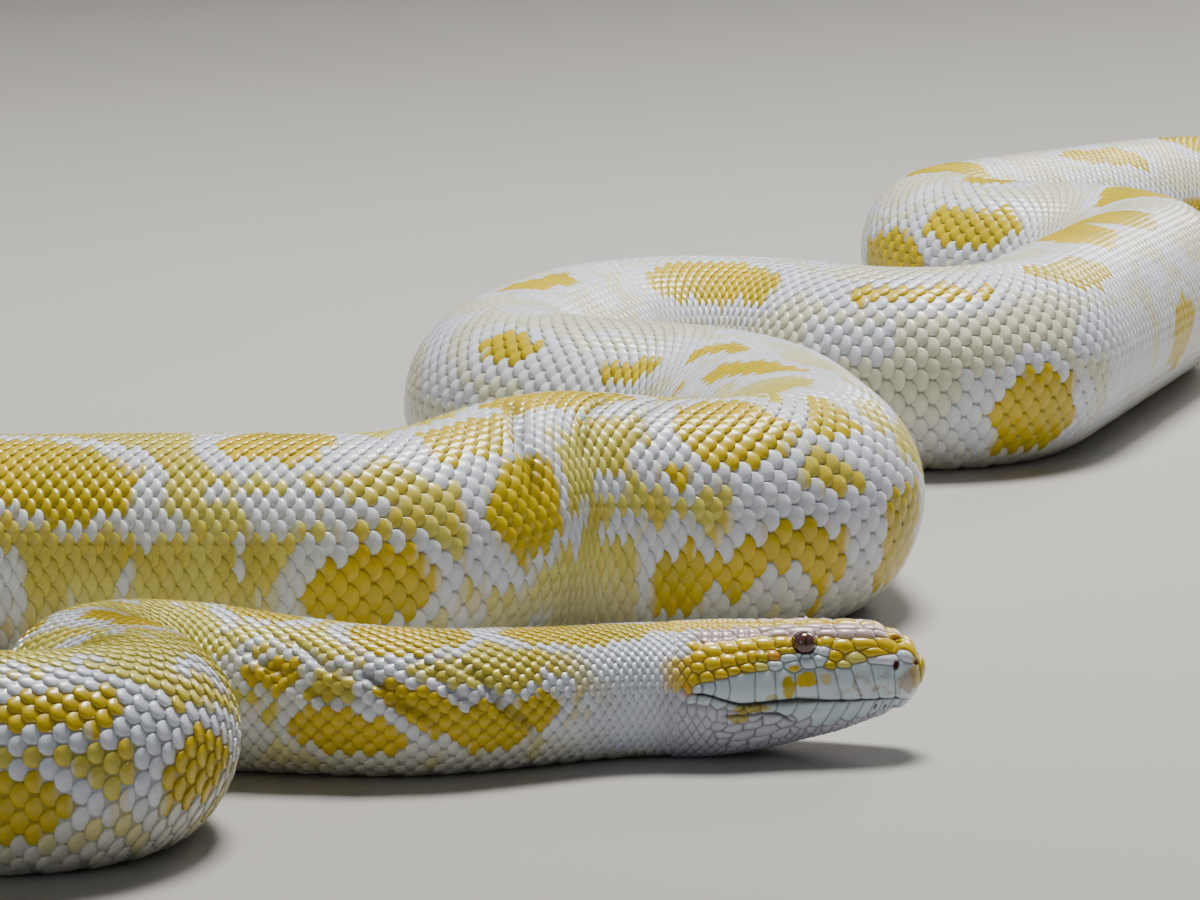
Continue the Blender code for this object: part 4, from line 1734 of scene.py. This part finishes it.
@dataclass
class HeadShields:
    """The shields of one side of the head as a fine sheet, cut by grooves along their edges."""

    shape: BodyShape
    head: HeadForm
    seeds: Seeds
    step: float = 0.00040
    upper: int = 190
    lower: int = 100
    end: float = 0.1064
    lip_gap: float = 0.00042
    least_arm: float = 0.006
    batch: int = 6000
    mouth_depth: float = 0.0019
    sheet_depth: float = 0.00085
    plate_height: float = 0.00052
    plate_dome: float = 0.00058
    groove_width: float = 0.00050
    groove_shade_width: float = 0.00030
    plate_lean: float = 0.00030
    lip_roll: float = 0.00045
    lip_roll_width: float = 0.0006
    lower_lip_set_back: float = 0.0007
    lower_lip_width: float = 0.0035
    front_cut: float = 0.0010
    end_sunk: float = 0.0024
    # Reach of the painted shade beside the mouth's cleft, on the upper and on the lower lip.
    upper_cleft_shade: float = 0.00050
    lower_cleft_shade: float = 0.00095

    def arm(self, s: Array) -> Array:
        """Half width of the head, never less than a small one at the snout."""
        return np.maximum(self.shape.girth(s), self.least_arm)

    def grid(self) -> tuple[Array, Array, Array]:
        """Rings over one half of the head, with one inner row along the mouth line.

        Returns:
            Distance and angle of each point, and 1 on the mouth's inner row.
        """
        s = np.concatenate((self.shape.nose_places(26), np.arange(0.0, self.end, self.step)))
        mouth = self.head.mouth_phi(s)[:, None]
        gap = self.lip_gap / self.arm(s)[:, None]
        above = (mouth - gap) * np.linspace(0.0, 1.0, self.upper)
        below = (mouth + gap) + (math.pi - mouth - gap) * np.linspace(0.0, 1.0, self.lower) ** 1.15
        phi = np.concatenate((above, mouth, below), axis=1)
        inner = np.zeros_like(phi)
        inner[:, self.upper] = 1.0
        return np.broadcast_to(s[:, None], phi.shape), phi, inner

    def nearest(self, place: Array, below: Array, s: Array) -> tuple[Array, Array, Array]:
        """The shield at each point, its share from the middle, and the gap to the next shield.

        The share is the root of (ahead / a)^2 + (across / b)^2 with ahead slanted by height, and the
        gap is the difference of the two lowest shares over the sum of the inverse half sizes.

        Args:
            place: points of the chart, shape (n, 3).
            below: which points are below the mouth line.
            s: their distances from the snout.

        Returns:
            Index of the shield, its share, and the gap in metres.
        """
        seeds = self.seeds
        length, height = seeds.size.T
        size = np.sqrt(length * height)
        found = []
        for start in range(0, len(place), self.batch):
            part = slice(start, start + self.batch)
            ahead, side, up = np.moveaxis(place[part, None, :] - seeds.place, -1, 0)
            q = np.sqrt(((ahead - seeds.slant * up) / length) ** 2 + (side ** 2 + up ** 2) / height ** 2)
            apart = (below[part, None] != seeds.below) & (s[part, None] < self.head.corner)
            q = np.where(apart, q + 9.0, q)
            two = np.argpartition(q, 1, axis=1)[:, :2]
            low, high = np.take_along_axis(q, two, axis=1).T
            one = np.where(low > high, two[:, 1], two[:, 0])
            found.append((one, np.minimum(low, high), np.abs(high - low) / (1.0 / size[two]).sum(axis=1)))
        return tuple(np.concatenate(column) for column in zip(*found))

    def paint(self, tint: Array, place: Array) -> Array:
        """Dabs of colour over the shields, brown freckles on the front lips, red-brown nostrils and pits, and
        painted shade in the jaw's furrow and the small pits under the lips.

        Args:
            tint: the shields' own colours.
            place: places on the chart.

        Returns:
            The colours painted over.
        """
        s, side, up = place.T
        for dab in DABS:
            share = np.hypot((s - dab.s) / dab.half_length, (up - dab.z) / dab.half_height)
            noise = 0.5 * (value_noise(place, 0.0016) - 0.5)
            tint = mix(tint, dab.tone.light, dab.strength * (1.0 - smoothstep(0.80, 1.10, share + noise)))
        half = read_line(CROWN_LINE, s)
        edge = np.abs(side) + 0.0018 * (value_noise(place, 0.0022) - 0.5)
        crown = (1.0 - smoothstep(half - 0.0006, half + 0.0006, edge)) * (up > 0.049)
        tint = mix(tint, Tone.GOLD.light, 0.9 * crown * smoothstep(0.008, 0.012, s))
        cloud = smoothstep(0.42, 0.75, value_noise(place + 0.3, 0.0026))
        freckle = cloud * (0.4 + 0.6 * smoothstep(0.35, 0.75, value_noise(place + 0.7, 0.0008)))
        lips = smoothstep(0.0262, 0.0280, up) * (1.0 - smoothstep(0.0350, 0.0385, up))
        tint = mix(tint, Tone.SPECKLE.light, 0.60 * freckle * lips * (1.0 - smoothstep(0.033, 0.037, s)))
        # Painted shade in the furrow between the lower lip and the jaw.
        tint = mix(tint, np.zeros(3), 0.75 * self.head.crease(place, 0.00055))
        # Nostrils and the larger pits keep their red-brown colour; the small pits under the lips get painted
        # groove shade.
        for pit, share in self.head.pit_shares(place):
            colour = Tone.PIT if pit.rim > 0.0003 else Tone.GROOVE_SHADE
            tint = mix(tint, colour.light, 1.0 - smoothstep(0.75, 1.15, share))
        return tint

    def build(self, side: int) -> bpy.types.Object:
        """One half of the head.

        Args:
            side: 1 for positive angles and -1 for negative ones.

        Returns:
            The finished sheet.
        """
        head, seeds = self.head, self.seeds
        grid_s, grid_phi, inner = self.grid()
        s, phi, inner = grid_s.ravel(), side * grid_phi.ravel(), inner.ravel()
        mouth = np.repeat(head.mouth_phi(grid_s[:, 0]), grid_s.shape[1])
        place = head.chart(s, phi)
        below = np.abs(phi) > mouth
        first, share, gap = self.nearest(place, below, s)
        drop = np.abs(np.abs(phi) - mouth) * self.arm(s)
        opening = head.opening(s)
        tilt = seeds.tilt[first]
        lean = (place[:, 0] - seeds.place[first, 0]) / seeds.size[first, 0]
        rise = self.plate_height * (1.0 - bump(gap, self.groove_width)) - self.sheet_depth
        rise += self.plate_dome * (1.0 - np.minimum(share, 1.25) ** 2) + self.plate_lean * tilt * lean
        rise -= opening * self.lip_roll * np.exp(-drop / self.lip_roll_width)
        rise -= opening * below * self.lower_lip_set_back * bump(drop, self.lower_lip_width)
        front = smoothstep(math.radians(140), math.radians(150), np.abs(phi))
        rise += head.pits(place) + head.hollows(s, phi) - self.front_cut * bump(s - 0.0024, 0.0005) * front
        rise -= inner * opening * self.mouth_depth + self.end_sunk * smoothstep(0.1010, 0.1060, s)
        tint = self.paint(seeds.tone[first] * (0.95 + 0.08 * hash01(first))[:, None], place)
        groove = Tone.GROOVE_SHADE.light
        # Painted shade in the grooves between the shields, lighter between the small scales.
        tint = mix(tint, tint * groove, (0.72 - 0.28 * tilt) * bump(gap, self.groove_shade_width))
        # Painted shade: near black along the mouth's cleft and the lip edges beside it.
        seam = bump(drop, np.where(below, self.lower_cleft_shade, self.upper_cleft_shade))
        tint = mix(tint, 0.15 * groove, opening * np.maximum(inner, seam))
        bake = np.meshgrid(*(np.linspace(0.0, 1.0, count) for count in grid_s.shape), indexing="ij")
        sheet = Sheet(self.shape.surface(s, phi, rise), patch_quads(1, *grid_s.shape)[:, ::side],
                      0.01 + 0.98 * np.stack(bake, axis=-1).reshape(-1, 2), tint)
        name = "head_shields_left" if side > 0 else "head_shields_right"
        return sheet.build(name, SHIELD_FINISH.material())


# ---------------------------------------------------------------- the eyes


@dataclass
class Eyes:
    """Two glossy balls with an upright slit pupil."""

    turns: int = 96
    bands: int = 56
    pole: float = 0.012
    slit_half: float = 0.00036
    slit_tall: float = 0.0024

    def build(self, node: str) -> bpy.types.Object:
        """A ball in the place of one eye node, its pole facing out and a little up and forward.

        Args:
            node: the eye node whose place and size it takes.

        Returns:
            The finished eye.
        """
        low, high = (np.array(corner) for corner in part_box(node))
        centre, radius = 0.5 * (low + high), 0.5 * float((high - low)[2])
        side = -1.0 if centre[1] < 0.5 * (CAD_BOX[0][1] + CAD_BOX[1][1]) else 1.0
        sheet = self.ball(centre, radius, np.array((0.12, 0.90 * side, 0.36)))
        eye = sheet.build("ball_" + node, EyeFinish().material())
        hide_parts(node)
        return eye

    def ball(self, centre: Array, radius: float, axis: Array) -> Sheet:
        """Points of the ball: radius times the cosine and sine of its polar and turning angles.

        Args:
            centre: the middle of the ball.
            radius: its radius.
            axis: the way its pole faces, of any length.

        Returns:
            The ball's arrays, with the pupil and the dark rim of the iris marked.
        """
        axis = axis / np.linalg.norm(axis)
        fore = np.array((1.0, 0.0, 0.0)) - axis * axis[0]
        fore = fore / np.linalg.norm(fore)
        top = np.cross(axis, fore)
        polar = np.linspace(0.0, math.pi, self.bands + 1)
        polar[0], polar[-1] = self.pole, math.pi - self.pole
        turn = 2.0 * math.pi * np.arange(self.turns) / self.turns
        band, around = np.meshgrid(polar, turn, indexing="ij")
        ahead = radius * np.sin(band) * np.cos(around)
        up = radius * np.sin(band) * np.sin(around)
        out = radius * np.cos(band)
        places = centre + out[..., None] * axis + ahead[..., None] * fore + up[..., None] * top
        width = self.slit_half * np.sqrt(np.maximum(1.0 - (up / self.slit_tall) ** 2, 0.0))
        slit = (1.0 - smoothstep(0.6, 1.3, np.abs(ahead) / np.maximum(width, 1e-5))) * (band < 1.4)
        rim = 0.75 * smoothstep(0.0037, 0.0047, np.hypot(ahead, up))
        bake = np.column_stack((band.ravel() / math.pi, around.ravel() / (2.0 * math.pi)))
        return Sheet(places.reshape(-1, 3), tube_quads(self.bands + 1, self.turns)[:, ::-1],
                     0.01 + 0.98 * bake, pupil=np.maximum(slit, rim).ravel(), wraps=True)


# ---------------------------------------------------------------- studio


@dataclass
class Studio:
    """Plain floor, soft lights and the camera."""

    floor_half: float = 9.0
    world_colour: Colour = (0.86, 0.88, 0.92)
    world_strength: float = 0.12
    lens: float = 150.0
    camera_back: float = -1.9975
    camera_height: float = 0.505
    camera_pitch: float = 10.76

    def floor(self) -> None:
        """A flat square under the animal."""
        half = self.floor_half
        mesh = bpy.data.meshes.new("floor")
        mesh.from_pydata([(-half, -half, 0.0), (half, -half, 0.0), (half, half, 0.0), (-half, half, 0.0)], [],
                         [(0, 1, 2, 3)])
        mesh.materials.append(FloorFinish().material())
        link("floor", mesh)

    def light(self, name: str, place: tuple[float, float, float], size: float, watts: float,
              colour: Colour) -> None:
        """A square soft light that looks at the middle of the animal.

        Args:
            name: its name.
            place: where it stands.
            size: its edge.
            watts: its power.
            colour: its colour.
        """
        lamp = bpy.data.lights.new(name, "AREA")
        lamp.shape = "SQUARE"
        lamp.size = size
        lamp.energy = watts
        lamp.color = colour
        body = link(name, lamp)
        body.location = place
        aim = -np.array(place) / np.linalg.norm(place)
        body.rotation_euler = (math.acos(-aim[2]), 0.0, math.atan2(aim[1], aim[0]) - 0.5 * math.pi)

    def camera(self, shift: Array) -> None:
        """A long lens in front of the animal, a little above it, set as the scene's camera.

        Args:
            shift: the move from the course's own frame to the part's.
        """
        camera = bpy.data.cameras.new("camera")
        camera.lens = self.lens
        camera.sensor_width = 36.0
        camera.clip_start = 0.05
        camera.clip_end = 60.0
        body = link("camera", camera)
        body.location = (shift[0], self.camera_back + shift[1], self.camera_height)
        body.rotation_euler = (math.radians(90.0 - self.camera_pitch), 0.0, 0.0)
        bpy.context.scene.camera = body

    def build(self, shift: Array) -> None:
        """Make the floor, the world, the lights and the camera.

        Args:
            shift: the move from the course's own frame to the part's.
        """
        self.floor()
        world = bpy.data.worlds.new("studio")
        world.use_nodes = True
        background = world.node_tree.nodes["Background"]
        background.inputs["Color"].default_value = (*self.world_colour, 1.0)
        background.inputs["Strength"].default_value = self.world_strength
        bpy.context.scene.world = world
        self.light("key", (0.1, 0.4, 2.4), 0.8, 116.0, (1.0, 0.98, 0.93))
        self.light("fill", (-1.8, -2.8, 1.5), 1.4, 5.5, (0.84, 0.92, 1.0))
        self.light("back", (1.4, 2.8, 1.6), 0.9, 36.0, (1.0, 0.97, 0.92))
        self.camera(shift)


# ---------------------------------------------------------------- the whole


def frame_shift(course: Course, eye_s: float) -> Array:
    """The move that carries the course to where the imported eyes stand.

    Args:
        course: the line of the body.
        eye_s: distance of the eyes from the snout.

    Returns:
        The move, along the floor.
    """
    middle = np.mean([corner for node in EYE_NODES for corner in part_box(node)], axis=0)
    x, y, _ = course.place(np.array(eye_s))
    return np.array((middle[0] - float(x), middle[1] - float(y), 0.0))


def main() -> None:
    """Build the animal and its studio."""
    logging.basicConfig(level=logging.INFO, format="%(name)s: %(message)s")
    shape = BodyShape(Course())
    lattice = Lattice(shape)
    head = HeadForm(shape, lattice)
    shape.shift = frame_shift(shape.course, head.eye_s)
    log.info("course %.4f m, shift %s", shape.course.length, np.round(shape.shift, 5))
    markings = Markings(shape)
    skin = Skin(shape, markings, head).build()
    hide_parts(*(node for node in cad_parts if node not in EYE_NODES))
    shields = HeadShields(shape, head, head.seeds())
    coat = [shields.build(side) for side in (1, -1)]
    coat += ScaleCoat(shape, markings, head, lattice).build()
    coat.append(BellyScutes(shape, lattice).build())
    for piece in coat:
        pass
    eyes = [Eyes().build(node) for node in EYE_NODES]
    for piece in (skin, *coat, *eyes):
        log.info("%s: %d faces", piece.name, len(piece.data.polygons))
    Studio().build(shape.shift)


if __name__ == "__main__":
    main()
